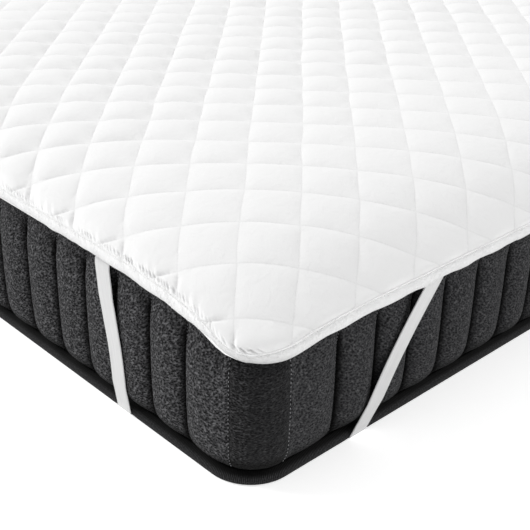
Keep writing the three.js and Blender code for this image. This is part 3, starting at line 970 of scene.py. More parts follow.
class Thread(Enum):
    """Threads that the pieces are sewn with."""

    WHITE = ("sewing_thread_white", "#e9e9e7")
    PALE = ("sewing_thread_pale_grey", "#8c8c8e")
    GREY = ("sewing_thread_grey", "#5b5b5d")
    BLACK = ("sewing_thread_black", "#2c2c2e")

    def finish(self) -> bpy.types.Material:
        """The thread's material, made once."""
        name, colour = self.value
        return bpy.data.materials.get(name) or SewingThread(name, colour).build()


# ---- Things that repeat along a path -------------------------------------------------------------------


class Sewing:
    """Geometry Nodes trees that lay stitches and cords along paths."""

    @staticmethod
    def new_tree(name: str, sizes: Sequence[str]) -> tuple[bpy.types.NodeTree, bpy.types.Node]:
        """Starts a tree with its named inputs.

        Args:
            name: Name of the tree.
            sizes: Names of its size inputs.
        Returns:
            The tree and its input node.
        """
        tree = bpy.data.node_groups.new(name, "GeometryNodeTree")
        sockets = [("Geometry", "Geometry"), *((size, "Float") for size in sizes), ("Finish", "Material")]
        for label, kind in sockets:
            tree.interface.new_socket(label, in_out="INPUT", socket_type=f"NodeSocket{kind}")
        tree.interface.new_socket("Geometry", in_out="OUTPUT", socket_type="NodeSocketGeometry")
        return tree, tree.nodes.new("NodeGroupInput")

    @staticmethod
    def end_tree(tree: bpy.types.NodeTree, given: bpy.types.Node, made: bpy.types.Node) -> bpy.types.NodeTree:
        """Ends a tree in Realize Instances and Set Material."""
        real = add_node(tree, "GeometryNodeRealizeInstances", {"Geometry": made})
        dressed = add_node(
            tree, "GeometryNodeSetMaterial", {"Geometry": real, "Material": given.outputs["Finish"]}
        )
        add_node(tree, "NodeGroupOutput", {"Geometry": dressed})
        return tree

    @classmethod
    def stitch_tree(cls) -> bpy.types.NodeTree:
        """Tree that lays separate stitches along paths."""
        tree, given = cls.new_tree("lay_stitches", ("Pitch", "Stitch length", "Thread radius"))
        add, size = partial(add_node, tree), given.outputs
        curve = add("GeometryNodeMeshToCurve", {"Mesh": size["Geometry"]})
        spaced = add("GeometryNodeResampleCurve", {"Curve": curve, "Length": size["Pitch"]}, mode="LENGTH")
        bead = add("GeometryNodeMeshUVSphere", {"Segments": 5, "Rings": 4, "Radius": 1.0})
        along = add("GeometryNodeInputTangent")
        turned = add("FunctionNodeAlignRotationToVector", {"Vector": along}, axis="Z")
        half = add("ShaderNodeMath", {0: size["Stitch length"], 1: 0.5}, operation="MULTIPLY")
        radius = size["Thread radius"]
        shape = add("ShaderNodeCombineXYZ", {"X": radius, "Y": radius, "Z": half})
        laid = add(
            "GeometryNodeInstanceOnPoints",
            {"Points": spaced, "Instance": bead, "Rotation": turned, "Scale": shape},
        )
        return cls.end_tree(tree, given, laid)

    @classmethod
    def cord_tree(cls) -> bpy.types.NodeTree:
        """Tree that runs a round cord along each path."""
        tree, given = cls.new_tree("run_cords", ("Cord radius",))
        add, size = partial(add_node, tree), given.outputs
        curve = add("GeometryNodeMeshToCurve", {"Mesh": size["Geometry"]})
        section = add("GeometryNodeCurvePrimitiveCircle", {"Resolution": 6, "Radius": size["Cord radius"]})
        swept = add("GeometryNodeCurveToMesh", {"Curve": curve, "Profile Curve": section, "Fill Caps": True})
        return cls.end_tree(tree, given, swept)

    @staticmethod
    def run(
        name: str, tree: bpy.types.NodeTree, paths: Sequence[Array], closed: bool,
        sizes: dict[str, float], finish: bpy.types.Material,
    ) -> bpy.types.Object:
        """Runs a tree over paths and keeps the result as a plain mesh.

        Args:
            name: Name of the piece.
            tree: Tree from this class.
            paths: Points of each path in millimetres.
            closed: Whether each path's end joins its start.
            sizes: The tree's size inputs, in metres.
            finish: Material of the result.
        Returns:
            The finished piece.
        """
        points, edges = [], []
        for path in paths:
            first, count = len(points), len(path)
            points += (np.asarray(path) * MM).tolist()
            edges += [(first + i, first + i + 1) for i in range(count - 1)]
            if closed:
                edges.append((first + count - 1, first))
        carrier = placed(name + "_path", bpy.data.meshes.new(name + "_path"))
        carrier.data.from_pydata(points, edges, [])
        modifier = carrier.modifiers.new("sewing", "NODES")
        modifier.node_group = tree
        values = {**sizes, "Finish": finish}
        for item in tree.interface.items_tree:
            if item.in_out == "INPUT" and item.name in values:
                modifier[item.identifier] = values[item.name]
        evaluated = carrier.evaluated_get(bpy.context.evaluated_depsgraph_get())
        mesh = bpy.data.meshes.new_from_object(evaluated)
        mesh.name = name
        carrier.modifiers.clear()
        bpy.data.objects.remove(carrier)
        mesh.shade_smooth()
        return placed(name, mesh)


# ---- Protector -----------------------------------------------------------------------------------------


@dataclass
class QuiltedPad:
    """The quilted sheet: squares set corner to corner, puckered where the binding gathers it."""

    drape: Drape
    half_square: float = 48.0
    first_right: float = -6.4
    first_foot: float = -32.9
    puff: float = 4.7
    squareness: float = 2.9
    # How full the squares are along the long sides, and how much fuller over an inset from them.
    side_fullness: float = 0.64
    more_fullness: float = 1.35
    fuller_over: tuple[float, float] = (20.0, 620.0)
    plumpness: float = 0.22
    lumps: float = 0.75
    # Turn of the corner over which the foot end's gathers begin, as how far the rim faces the foot end.
    foot_turn: tuple[float, float] = (0.2, 0.9)
    # Gathers at the binding: share of them on the long sides, heights, and the pleats' pitch and slant.
    side_gather: float = 0.10
    pleat_height: float = 4.6
    pleat_pitch: float = 6.4
    pleat_slant: float = 1.3
    pleat_stray: float = 2.6
    wave_height: float = 1.7
    # How much less the cloth is pulled away from the corners, and from where to where.
    less_pull: float = 0.65
    less_pull_over: tuple[float, float] = (300.0, 480.0)
    # How far a seam is drawn in, the reach of that across it, and its place and reach from the binding.
    drawn_in: tuple[float, float, float, float] = (2.6, 2.4, 9.0, 9.0)
    # Height of the swell behind the binding, where it starts to fall and over what length.
    swell: tuple[float, float, float] = (1.7, 4.0, 7.0)
    # The face lifts to a lip beside the binding and drops under it, over these distances in from it.
    lip: float = 1.2
    lip_over: tuple[float, float] = (0.5, 9.0)
    edge_drop: float = 1.2
    edge_over: tuple[float, float] = (-2.2, -0.3)
    # How far the needle wanders, slowly and quickly, and the length of each turn.
    wanders: tuple[tuple[float, float], ...] = ((1.6, 95.0), (1.1, 37.0))
    thickness: float = 5.0
    # Edge inside the binding: its distance from the hem, and the depths of its two faces.
    edge_inset: float = 1.8
    edge_depths: tuple[float, float] = (1.3, 3.7)
    band: float = 24.0
    columns: int = 640
    splits: tuple[float, ...] = (0.0, 0.022, 0.07, 0.17, 0.37, 0.63, 0.83, 0.93, 0.978)
    insets: tuple[float, ...] = (0, 12, 30, 60, 105, 170, 260)

    def to_cloth(self, x: Array, y: Array) -> Array:
        """Quilting coordinates of points of the plan: whole numbers are seams."""
        drape = self.drape
        right = drape.cloth_length(drape.half_width - x, drape.half_width, drape.arc_width)
        foot = drape.cloth_length(drape.half_length + y, drape.half_length, drape.arc_length)
        shift_right, shift_foot = self.wander(right, foot)
        a, b = right - shift_right - self.first_right, foot - shift_foot - self.first_foot
        return np.stack([(a + b), (a - b)], -1) / (2 * self.half_square)

    def to_plan(self, cloth: Array) -> tuple[Array, Array]:
        """Points of the plan at quilting coordinates, the reverse of to_cloth."""
        drape = self.drape
        right = self.first_right + self.half_square * (cloth[:, 0] + cloth[:, 1])
        foot = self.first_foot + self.half_square * (cloth[:, 0] - cloth[:, 1])
        shift_right, shift_foot = self.wander(right, foot)
        inset_x = drape.inset_of(right + shift_right, drape.half_width, drape.arc_width)
        inset_y = drape.inset_of(foot + shift_foot, drape.half_length, drape.arc_length)
        return drape.half_width - inset_x, inset_y - drape.half_length

    def wander(self, right: Array, foot: Array) -> tuple[Array, Array]:
        """How far the needle wandered from its straight line, over the flat cloth."""
        along, across = (
            sum(
                size * Unevenness(seed + 5 * number).at(right / turn, foot / turn)
                for number, (size, turn) in enumerate(self.wanders)
            )
            for seed in (21, 22)
        )
        return along, across

    def relief(self, x: Array, y: Array, cloth: Array) -> Array:
        """Height of the puffs and puckers over the seams.

        Args:
            x: Points of the plan.
            y: Their other coordinate.
            cloth: Their quilting coordinates.
        Returns:
            One height for each point.
        """
        drape = self.drape
        rim, out, along = drape.nearest(x, y)
        from_binding = drape.uncovered(rim) - out
        foot_side = smooth_step(-rim.ny, *self.foot_turn)
        puffs = self.pillows(x, cloth) * smooth_step(from_binding, -2, 9 + 8 * foot_side)
        # Quilting seams are drawn in where they reach the gathered edge.
        in_seam = np.abs(cloth - np.round(cloth)).min(-1) * 2 * self.half_square / math.sqrt(2)
        depth, half_width, place, reach = self.drawn_in
        near_edge = np.exp(-(((from_binding - place) / reach) ** 2))
        drawn = depth * np.exp(-((in_seam / half_width) ** 2)) * near_edge
        gathered = self.side_gather + (1 - self.side_gather) * foot_side
        puckers = gathered * (self.gathers(along, from_binding, rim.from_corner) - drawn)
        height, place, reach = self.swell
        swell = gathered * height * np.exp(-((np.maximum(from_binding - place, 0) / reach) ** 2))
        lip = self.lip * (1 - foot_side) * (1 - smooth_step(from_binding, *self.lip_over))
        tucked = 1 - smooth_step(from_binding, *self.edge_over)
        return puffs + puckers + swell + lip + (-self.edge_drop - lip) * tucked

    def pillows(self, x: Array, cloth: Array) -> Array:
        """Height of the filling between the seams, at points of the plan and of the quilting."""
        square, share = np.floor(cloth + 1e-7), np.mod(cloth, 1.0)
        round_off = np.clip(1 - np.abs(2 * share - 1) ** self.squareness, 0, 1)
        plump = 1 + self.plumpness * Unevenness(31).at(square[:, 0] * 1.37, square[:, 1] * 1.73)
        # The straps draw the cloth flat along the long sides, and it lies fuller toward the middle.
        inward = smooth_step(self.drape.half_width - np.abs(x), *self.fuller_over)
        fullness = self.side_fullness + self.more_fullness * inward
        puffs = self.puff * plump * fullness * round_off[:, 0] * round_off[:, 1]
        lumps = self.lumps * Unevenness(33).at(cloth[:, 0] * 2.6, cloth[:, 1] * 2.6)
        return puffs + lumps * np.minimum(round_off[:, 0], round_off[:, 1])

    def gathers(self, along: Array, from_binding: Array, from_corner: Array) -> Array:
        """Height of the waves and pleats that the binding's stitches pull into the cloth.

        Args:
            along: Distances round the rim.
            from_binding: Distances in from the binding.
            from_corner: Distances round the rim from the nearest corner.
        Returns:
            One height for each point, less than 0 in a pleat.
        """
        # The cloth is gathered most near the corners, where the elastics pull.
        pulled = 1 - self.less_pull * smooth_step(from_corner, *self.less_pull_over)
        patchy = np.clip(0.75 + 0.55 * Unevenness(41).at(along / 37.0), 0.15, 1.2) * pulled
        slanted = along + self.pleat_slant * from_binding
        stray = self.pleat_stray * Unevenness(42).at(slanted / 13.0)
        turn = 2 * np.pi * slanted / self.pleat_pitch + stray
        pleats = np.maximum(np.sin(turn) - 0.25, 0) * np.exp(-(((from_binding - 2.8) / 2.2) ** 2))
        pleats = pleats * np.clip(0.8 + 0.7 * Unevenness(45).at(slanted / 9.0), 0.2, 1.5)
        waves = Unevenness(43).at((along + 1.2 * from_binding) / 7.0, from_binding / 40.0)
        waves = waves * smooth_step(from_binding, 0, 5)
        reach = 9.0 + 5.0 * Unevenness(44).at(along / 19.0)
        waves = waves * np.exp(-np.maximum(from_binding, 0) / reach)
        return patchy * (self.wave_height * waves - self.pleat_height * pleats)

    def band_points(self) -> Array:
        """Points of the plan along the binding, closer together near it, where the cloth gathers."""
        rows = (
            (self.band, 4.6, 5.5), (18.0, 2.6, 4.5), (13.5, 1.8, 3.6), (10.4, 1.3, 3.3), (8.2, 1.0, 3.0),
            (6.6, 0.9, 2.9), (5.4, 0.85, 2.9), (4.4, 0.85, 2.9), (3.5, 0.85, 2.9), (2.6, 0.85, 2.9),
            (1.8, 0.85, 2.9), (1.0, 0.85, 2.9), (0.2, 0.85, 2.9), (-0.6, 1.1, 2.9), (-2.2, 2.6, 4.0),
        )
        drape, found = self.drape, []
        foot_start = drape.perimeter - 2 * (drape.half_width - drape.radius) - 2 * drape.quarter
        for from_binding, close, wide in rows:
            # Closest together at the foot end's right corner, wider along the rest of that end.
            runs = []
            for start, stop, step in (
                (-460.0, 60.0, close),
                (60.0, foot_start - 60.0, wide),
                (foot_start - 60.0, drape.perimeter - 460.0, close * 1.9),
            ):
                steps = round((stop - start) / step)
                runs.append(start + (stop - start) * np.arange(steps) / steps)
            rim = drape.rim_at(np.concatenate(runs))
            found.append(rim.plan(drape.uncovered(rim) - from_binding))
        return np.concatenate(found)

    def lattice_points(self) -> Array:
        """Points of the plan on the quilting's own squares."""
        drape = self.drape
        flat_width, flat_length = drape.flat_size
        most = math.ceil((flat_width + flat_length) / (2 * self.half_square)) + 1
        low = -math.ceil(flat_length / (2 * self.half_square)) - 1
        steps = np.concatenate([np.array(self.splits) + n for n in range(low, most)])
        p, q = np.meshgrid(steps[steps > -1.5], steps, indexing="ij")
        x, y = self.to_plan(np.stack([p.ravel(), q.ravel()], -1))
        inside = (np.abs(x) < drape.half_width + 60) & (np.abs(y) < drape.half_length + 60)
        x, y = x[inside], y[inside]
        rim, out, _ = drape.nearest(x, y)
        return np.stack([x, y], -1)[drape.uncovered(rim) - out > self.band + 2.5]

    def build(self, finish: bpy.types.Material) -> bpy.types.Object:
        """Makes the sheet as one closed mesh.

        Args:
            finish: Its material.
        Returns:
            The finished piece.
        """
        drape, count = self.drape, self.columns
        along = np.arange(count) * drape.perimeter / count
        rim = drape.rim_at(along)
        hang, covered = drape.hang_at(rim), drape.binding_at(rim)
        # Two rows of the edge are pressed flat inside the binding.
        pressed = [hang - self.edge_inset, hang - covered / 2]
        upper_depth, lower_depth = self.edge_depths
        edge = [rim.plan(past) for past in pressed]
        plan = np.concatenate([*edge, self.band_points(), self.lattice_points()])
        made = delaunay_2d_cdt([Vector(point) for point in plan], [], [list(range(count))], 1, 1e-5)
        source = [ids[0] for ids in made[3]]
        x, y = plan[source].T
        cloth = self.to_cloth(x, y)
        upper = drape.surface(x, y, -self.relief(x, y, cloth))
        where = {original: number for number, original in enumerate(source)}
        held = [where[i] for i in range(2 * count)]
        upper[held] = np.concatenate([drape.hanging(rim, past, upper_depth) for past in pressed])
        rows = [drape.hanging(rim, past, lower_depth) for past in (*pressed, hang - covered)]
        rows += [drape.hanging(rim, (hang - covered - 0.5) * share, self.thickness) for share in (1, 0.5)]
        for inset in self.insets:
            line = drape.rim_at(along, inset)
            rows.append(drape.surface(line.x, line.y, self.thickness))
        start = len(upper)
        centre = start + len(rows) * count
        faces: list[Sequence[int]] = [list(face)[::-1] for face in made[2]]
        after = [(i + 1) % count for i in range(count)]
        faces += [(held[i], held[after[i]], start + after[i], start + i) for i in range(count)]
        faces += ring_faces(len(rows), count, start)
        faces += fan_faces(centre - count, count, centre)
        lower = np.concatenate([*rows, [[0, 0, drape.crown - self.thickness]]])
        uv = np.concatenate([cloth, lower[:, :2] / (2 * self.half_square)])
        return closed_mesh("protector_quilted_sheet", finish, np.concatenate([upper, lower]), faces, uv)


def swept_band(
    name: str,
    finish: bpy.types.Material,
    drape: Drape,
    rings: list[Array],
    section: Sequence[tuple[float, float]],
) -> bpy.types.Object:
    """Makes a closed band round the rim, with its pattern running along it.

    Args:
        name: Name of the piece.
        finish: Its material.
        drape: The drape whose rim it follows.
        rings: Points of each corner of its section, evenly spaced round the rim.
        section: The section's corners.
    Returns:
        The piece.
    """
    count = len(rings[0])
    along = np.arange(count) * drape.perimeter / count
    uv = [np.stack([along, np.full(count, part)], -1) for part in travelled(np.array(section))]
    faces = ring_faces(len(rings), count, looped=True)
    return closed_mesh(
        name, finish, np.concatenate(rings), faces, np.concatenate(uv) * MM, drape.perimeter * MM
    )


@dataclass
class EdgeBinding:
    """Bias tape folded over the sheet's edge and sewn down."""

    drape: Drape
    border: BorderShape
    height: float = 18.0
    spacing: float = 2.3
    # Section, as distance above the hem and depth under the cloth's face; it starts at the outer fold.
    section: tuple[tuple[float, float], ...] = (
        (17.4, 0.9), (18.6, 0.3), (18.9, -0.9), (18.3, -2.0), (17.2, -2.3), (16.3, -1.6), (15.8, -0.2),
        (15.2, 0.4), (14.6, 0.2), (14.0, -0.7), (12.6, -1.6), (9.5, -2.3), (6.0, -2.1), (3.0, -1.2),
        (0.9, 0.4), (0.0, 2.4), (0.5, 4.2), (2.5, 4.9), (9.0, 5.0), (17.5, 4.7), (17.5, 4.1),
        (9.0, 3.95), (1.6, 3.8), (1.6, 1.2), (9.0, 1.0),
    )
    # Number of the last corner of the section that is still on its outer half.
    last_outer: int = 15
    stitch_line: tuple[float, float] = (15.2, 0.15)
    # Places where the hem is drawn up: distance round the rim, how far, and over what length.
    drawn_up: tuple[tuple[float, float, float], ...] = ((-28.0, 6.0, 20.0), (-440.0, 2.6, 130.0))
    # How far the hem strays: down, slowly and quickly, and out; and how it rises over the channels' crests.
    stray: tuple[float, float, float] = (0.9, 0.7, 0.5)
    scallop: float = 1.1
    foot_turn: tuple[float, float] = (0.2, 0.9)
    pucker: float = 0.9
    pucker_pitch: float = 3.6
    pucker_slant: float = 1.2
    # Shade under the tape: all round, how much more at the corners, and over what length.
    shade: tuple[float, float, float] = (0.26, 0.36, 40.0)
    shade_height: float = 13.0

    def wave(self, along: Array) -> tuple[Array, Array]:
        """How far the hem strays down and out at distances round the rim."""
        _, share, panel = self.border.channel(along)
        scallop = self.scallop * (np.cos(2 * np.pi * share) - 1) * (1 - panel)
        slow, quick, outward = self.stray
        down = slow * Unevenness(51).at(along / 33.0) + quick * Unevenness(54).at(along / 13.0) + scallop
        for place, rise, reach in self.drawn_up:
            down = down - rise * np.exp(-((self.drape.past(along, place) / reach) ** 2))
        out = outward * Unevenness(52).at(along / 23.0) - 0.35 * scallop
        return down, out

    def at(self, along: Array, above: float, depth: float) -> Array:
        """Points of the binding.

        Args:
            along: Distances round the rim.
            above: Distance above the hem, where the binding shows its whole height.
            depth: Depth under the cloth's face.
        Returns:
            One row for each point.
        """
        rim = self.drape.rim_at(along)
        down, out = self.wave(along)
        fold = 1 - above / self.height
        puckered: Array | float = 0.0
        if depth < 0.0:
            gathered = 0.3 + 0.7 * smooth_step(-rim.ny, *self.foot_turn)
            slant = (along - self.pucker_slant * (self.height - above)) / self.pucker_pitch
            puckered = self.pucker * gathered * Unevenness(53).at(slant, above / 14.0)
        if depth < 0.5 and above > 12.0:
            # Gathers along the foot edge lift the seam, so that the binding has no sharp lip there.
            soft = -2.3 + 0.7 * ((above - 9.5) / 9.0) ** 2 + (1.6 if above > 18.5 else 0.0)
            depth = depth + (soft - depth) * smooth_step(-rim.ny, 0.75, 0.98)
        above = above * self.drape.binding_at(rim) / self.height
        hang = self.drape.hang_at(rim) - above + down * fold
        return self.drape.hanging(rim, hang, depth - puckered - out * fold)

    def build(self, finish: bpy.types.Material) -> bpy.types.Object:
        """Makes the binding as one closed mesh."""
        count = round(self.drape.perimeter / self.spacing)
        along = np.arange(count) * self.drape.perimeter / count
        rings = [self.at(along, above, depth) for above, depth in self.section]
        piece = swept_band("protector_edge_binding", finish, self.drape, rings, self.section)
        # Painted shade: the tape's lower fold is darkened, most at the corners.
        all_round, at_corners, reach = self.shade
        from_corner = self.drape.rim_at(along).from_corner
        shade = all_round + at_corners * np.exp(-((from_corner / reach) ** 2))
        shares = [
            1.0 if number > self.last_outer else max(1 - above / self.shade_height, 0.0)
            for number, (above, _) in enumerate(self.section)
        ]
        mark(piece, "underside_shade", np.concatenate([shade * share for share in shares]))
        return piece

    def stitching(self, tree: bpy.types.NodeTree) -> bpy.types.Object:
        """Makes the stitch line that holds the binding down."""
        along = np.arange(0, self.drape.perimeter, 4.0)
        path = self.at(along, *self.stitch_line)
        sizes = {"Pitch": 0.0036, "Stitch length": 0.0026, "Thread radius": 0.00032}
        return Sewing.run("protector_binding_stitches", tree, [path], True, sizes, Thread.WHITE.finish())


@dataclass
class StrapRoute:
    """Where one strap meets the two faces beside its corner, as distances from the corner."""

    name: str
    x: int
    y: int
    end_top: float
    end_bottom: float
    side_top: float
    side_bottom: float


MadeStrap = tuple[StrapRoute, bpy.types.Object, bpy.types.Object]


@dataclass
class CornerStraps:
    """Elastic straps across the corners: down one face, under the mattress and up the next face."""

    drape: Drape
    border: BorderShape
    width: float = 26.5
    thickness: float = 1.2
    gap: float = 0.45
    bow_end: float = 16.0
    bow_side: float = 8.0
    floor_gap: float = 0.3
    tape_face: float = 5.4
    # Heights over the hem of the sewn end's rows, its depth under the cloth, and where it hangs free.
    sewn_above: tuple[float, float] = (9.0, 5.5)
    sewn_depth: float = 5.35
    free_above: float = 2.0
    # It can touch the crests from this far under the hem down to this height, and the tape at the others.
    crest_heights: tuple[float, float] = (4.0, 22.5)
    tape_heights: tuple[float, float] = (7.0, 3.2)
    # Rows where it turns under, as height and distance in from the tape's front.
    turned_in: tuple[tuple[float, float], ...] = ((2.0, 0.2), (1.2, 0.9))
    # More bow near the sewn end of an end face: how far, and the share of the way and its reach.
    start_bow: tuple[float, float, float] = (3.2, 0.19, 0.13)
    # Heights over which the straps lean on the end faces and on the side faces.
    end_rise: float = 190.0
    side_rise: float = 165.0
    corner_pull: float = 0.36
    edge_round: int = 14
    ribs: int = 11
    rib_rise: float = 0.72
    routes: tuple[StrapRoute, ...] = (
        StrapRoute("foot_right", 1, -1, 244, 212, 271, 168),
        StrapRoute("foot_left", -1, -1, 262, 224, 240, 188),
        StrapRoute("head_left", -1, 1, 250, 205, 268, 170),
        StrapRoute("head_right", 1, 1, 236, 214, 283, 182),
    )

    def face(self, route: StrapRoute, out: tuple[int, int], top: float, bottom: float) -> tuple[Array, Array]:
        """Middle line of a strap down one face.

        Args:
            route: The strap.
            out: Outward direction of the face.
            top: Distance of its sewn end from the corner.
            bottom: Distance from the corner where it turns under.
        Returns:
            The points from the sewn end down, and half the strap's width as a vector at each.
        """
        drape = self.drape
        half = drape.half_width if out[1] else drape.half_length
        sign = route.x if out[1] else route.y

        def rim_of(distance: Array) -> Rim:
            """Stations of the rim at distances from the corner."""
            line = sign * (half - distance)
            x = np.full_like(line, out[0] * drape.half_width) if out[0] else line
            y = np.full_like(line, out[1] * drape.half_length) if out[1] else line
            away = distance - drape.radius + drape.quarter
            return Rim(x, y, np.full_like(line, out[0]), np.full_like(line, out[1]), away)

        sewn = rim_of(np.array([float(top)]))
        hem = float(drape.hem(sewn)[0])
        half_thick = self.thickness / 2
        depth = self.sewn_depth + half_thick
        start = drape.hanging(sewn, drape.hang_at(sewn) - self.sewn_above[0], depth)[0]
        start_out = (start[0] - sewn.x[0]) * out[0] + (start[1] - sewn.y[0]) * out[1]
        under_hem, lowest_crest = self.crest_heights
        z = np.linspace(hem - under_hem, lowest_crest, 90)
        crest = self.border.offset(np.full_like(z, 1e-3), z, np.full_like(z, hem), 1.0)
        tape = self.tape_face + self.floor_gap + half_thick
        free, tape_foot = hem + self.free_above, self.tape_heights[-1]
        crests = zip(z, crest + self.gap + half_thick)
        taut = self.stretched([(free, start_out), *crests, *((height, tape) for height in self.tape_heights)])
        sewn_rows, turned_rows = hem + np.array(self.sewn_above), np.array(self.turned_in)
        z = np.concatenate([sewn_rows, np.linspace(free, tape_foot, 44), turned_rows[:, 0]])
        offset = np.interp(-z, [-p[0] for p in taut], [p[1] for p in taut])
        offset[:2], offset[-2:] = start_out, tape - turned_rows[:, 1]
        share = np.clip((hem - z) / hem, 0, 1)
        bow = self.bow_end if out[1] else self.bow_side
        more, at, reach = self.start_bow
        start_bow = more * np.exp(-(((share - at) / reach) ** 2)) if out[1] else 0.0
        base = rim_of(top - (top - bottom) * share - bow * np.sin(np.pi * share) - start_bow)
        lean = np.arctan((top - bottom + bow * np.pi * np.cos(np.pi * share)) / hem)
        direction = np.array([0, -route.y, 0]) if out[0] else np.array([-route.x, 0, 0])
        across = direction[None, :] * (self.width / 2 / np.cos(lean))[:, None]
        return base.moved(offset, z), across

    @staticmethod
    def stretched(props: Sequence[tuple[float, float]]) -> list[tuple[float, float]]:
        """Line of a taut band over props, as their outer hull.

        Args:
            props: Height and offset of each point that the band can touch, from the top down.
        Returns:
            The points that it touches.
        """
        touched: list[tuple[float, float]] = []
        for point in props:
            while len(touched) > 1:
                (z0, o0), (z1, o1) = touched[-2:]
                if (z0 - z1) * (point[1] - o0) < (z0 - point[0]) * (o1 - o0):
                    break
                touched.pop()
            touched.append(point)
        return touched

    def both_faces(self, route: StrapRoute) -> list[tuple[Array, Array]]:
        """Middle line and half width vectors of a strap down its end face and down its side face."""
        return [
            self.face(route, (0, route.y), route.end_top, route.end_bottom),
            self.face(route, (route.x, 0), route.side_top, route.side_bottom),
        ]

    def feet(self, route: StrapRoute) -> list[float]:
        """Distances round the rim at which a strap turns under the mattress."""
        turns = np.array([line[-1] for line, _ in self.both_faces(route)])
        return list(self.drape.nearest(turns[:, 0], turns[:, 1])[2])

    def middle_line(self, route: StrapRoute) -> tuple[Array, Array]:
        """Middle line of a whole strap and its half width vectors."""
        (end, end_across), (side, side_across) = self.both_faces(route)
        z = self.floor_gap + self.thickness / 2
        start = end[-1] + np.array([0, -2.0 * route.y, 0])
        stop = side[-1] + np.array([-2.0 * route.x, 0, 0])
        start[2] = stop[2] = z
        end_lean = math.atan((route.end_top - route.end_bottom) / self.end_rise)
        side_lean = math.atan((route.side_top - route.side_bottom) / self.side_rise)
        from_end = np.array([-route.x * math.sin(end_lean), -route.y * math.cos(end_lean), 0])
        from_side = np.array([-route.x * math.cos(side_lean), -route.y * math.sin(side_lean), 0])
        pull = np.linalg.norm(stop - start) * self.corner_pull
        t = np.linspace(0, 1, 40)[:, None]
        p1, p2 = start + from_end * pull, stop + from_side * pull
        under = (1 - t) ** 3 * start + 3 * (1 - t) ** 2 * t * p1 + 3 * (1 - t) * t**2 * p2 + t**3 * stop
        heading = unit(np.gradient(under, axis=0))
        sideways = np.cross(heading, [0, 0, 1.0]) * self.width / 2
        sideways[0], sideways[-1] = end_across[-1], side_across[-1]
        centre = np.concatenate([end, under, side[::-1]])
        across = np.concatenate([end_across, sideways, side_across[::-1]])
        # The half widths keep to one side of the strap.
        for i in range(1, len(across)):
            if across[i] @ across[i - 1] < 0:
                across[i] *= -1
        return centre, across

    def build(self, finish: bpy.types.Material, tree: bpy.types.NodeTree) -> list[MadeStrap]:
        """Makes each strap and the rubber ribs knitted into it.

        Args:
            finish: Material of both.
            tree: Tree that runs the ribs.
        Returns:
            For each strap its route, the strap and its ribs.
        """
        half, shares = self.thickness / 2, np.linspace(-1, 1, 13)
        crown = half * np.sqrt(np.clip(1 - np.abs(shares) ** self.edge_round, 0, 1))
        upper = list(zip(shares, crown))
        section = upper + [(s, -c) for s, c in upper[-2:0:-1]]
        count = len(section)
        made = []
        for route in self.routes:
            centre, across = self.middle_line(route)
            facing = unit(np.cross(unit(np.gradient(centre, axis=0)), across))
            points = np.stack([centre + across * s + facing * c for s, c in section], 1).reshape(-1, 3)
            faces = ring_faces(len(centre), count)
            faces += [tuple(range(count))[::-1], tuple(range(len(points) - count, len(points)))]
            places = [s * self.width / 2 for s, _ in section]
            uv = np.stack([np.repeat(travelled(centre), count), np.tile(places, len(centre))], -1)
            name = f"protector_strap_{route.name}"
            strap = closed_mesh(f"{name}_elastic", finish, points, faces, uv * MM)
            paths = [
                centre[2:-2] + across[2:-2] * s + facing[2:-2] * (half * side * self.rib_rise)
                for s in np.linspace(-0.9, 0.9, self.ribs) for side in (1, -1)
            ]
            ribs = Sewing.run(f"{name}_ribs", tree, paths, False, {"Cord radius": 0.00042}, finish)
            made.append((route, strap, ribs))
        return made


# ---- Mattress ------------------------------------------------------------------------------------------


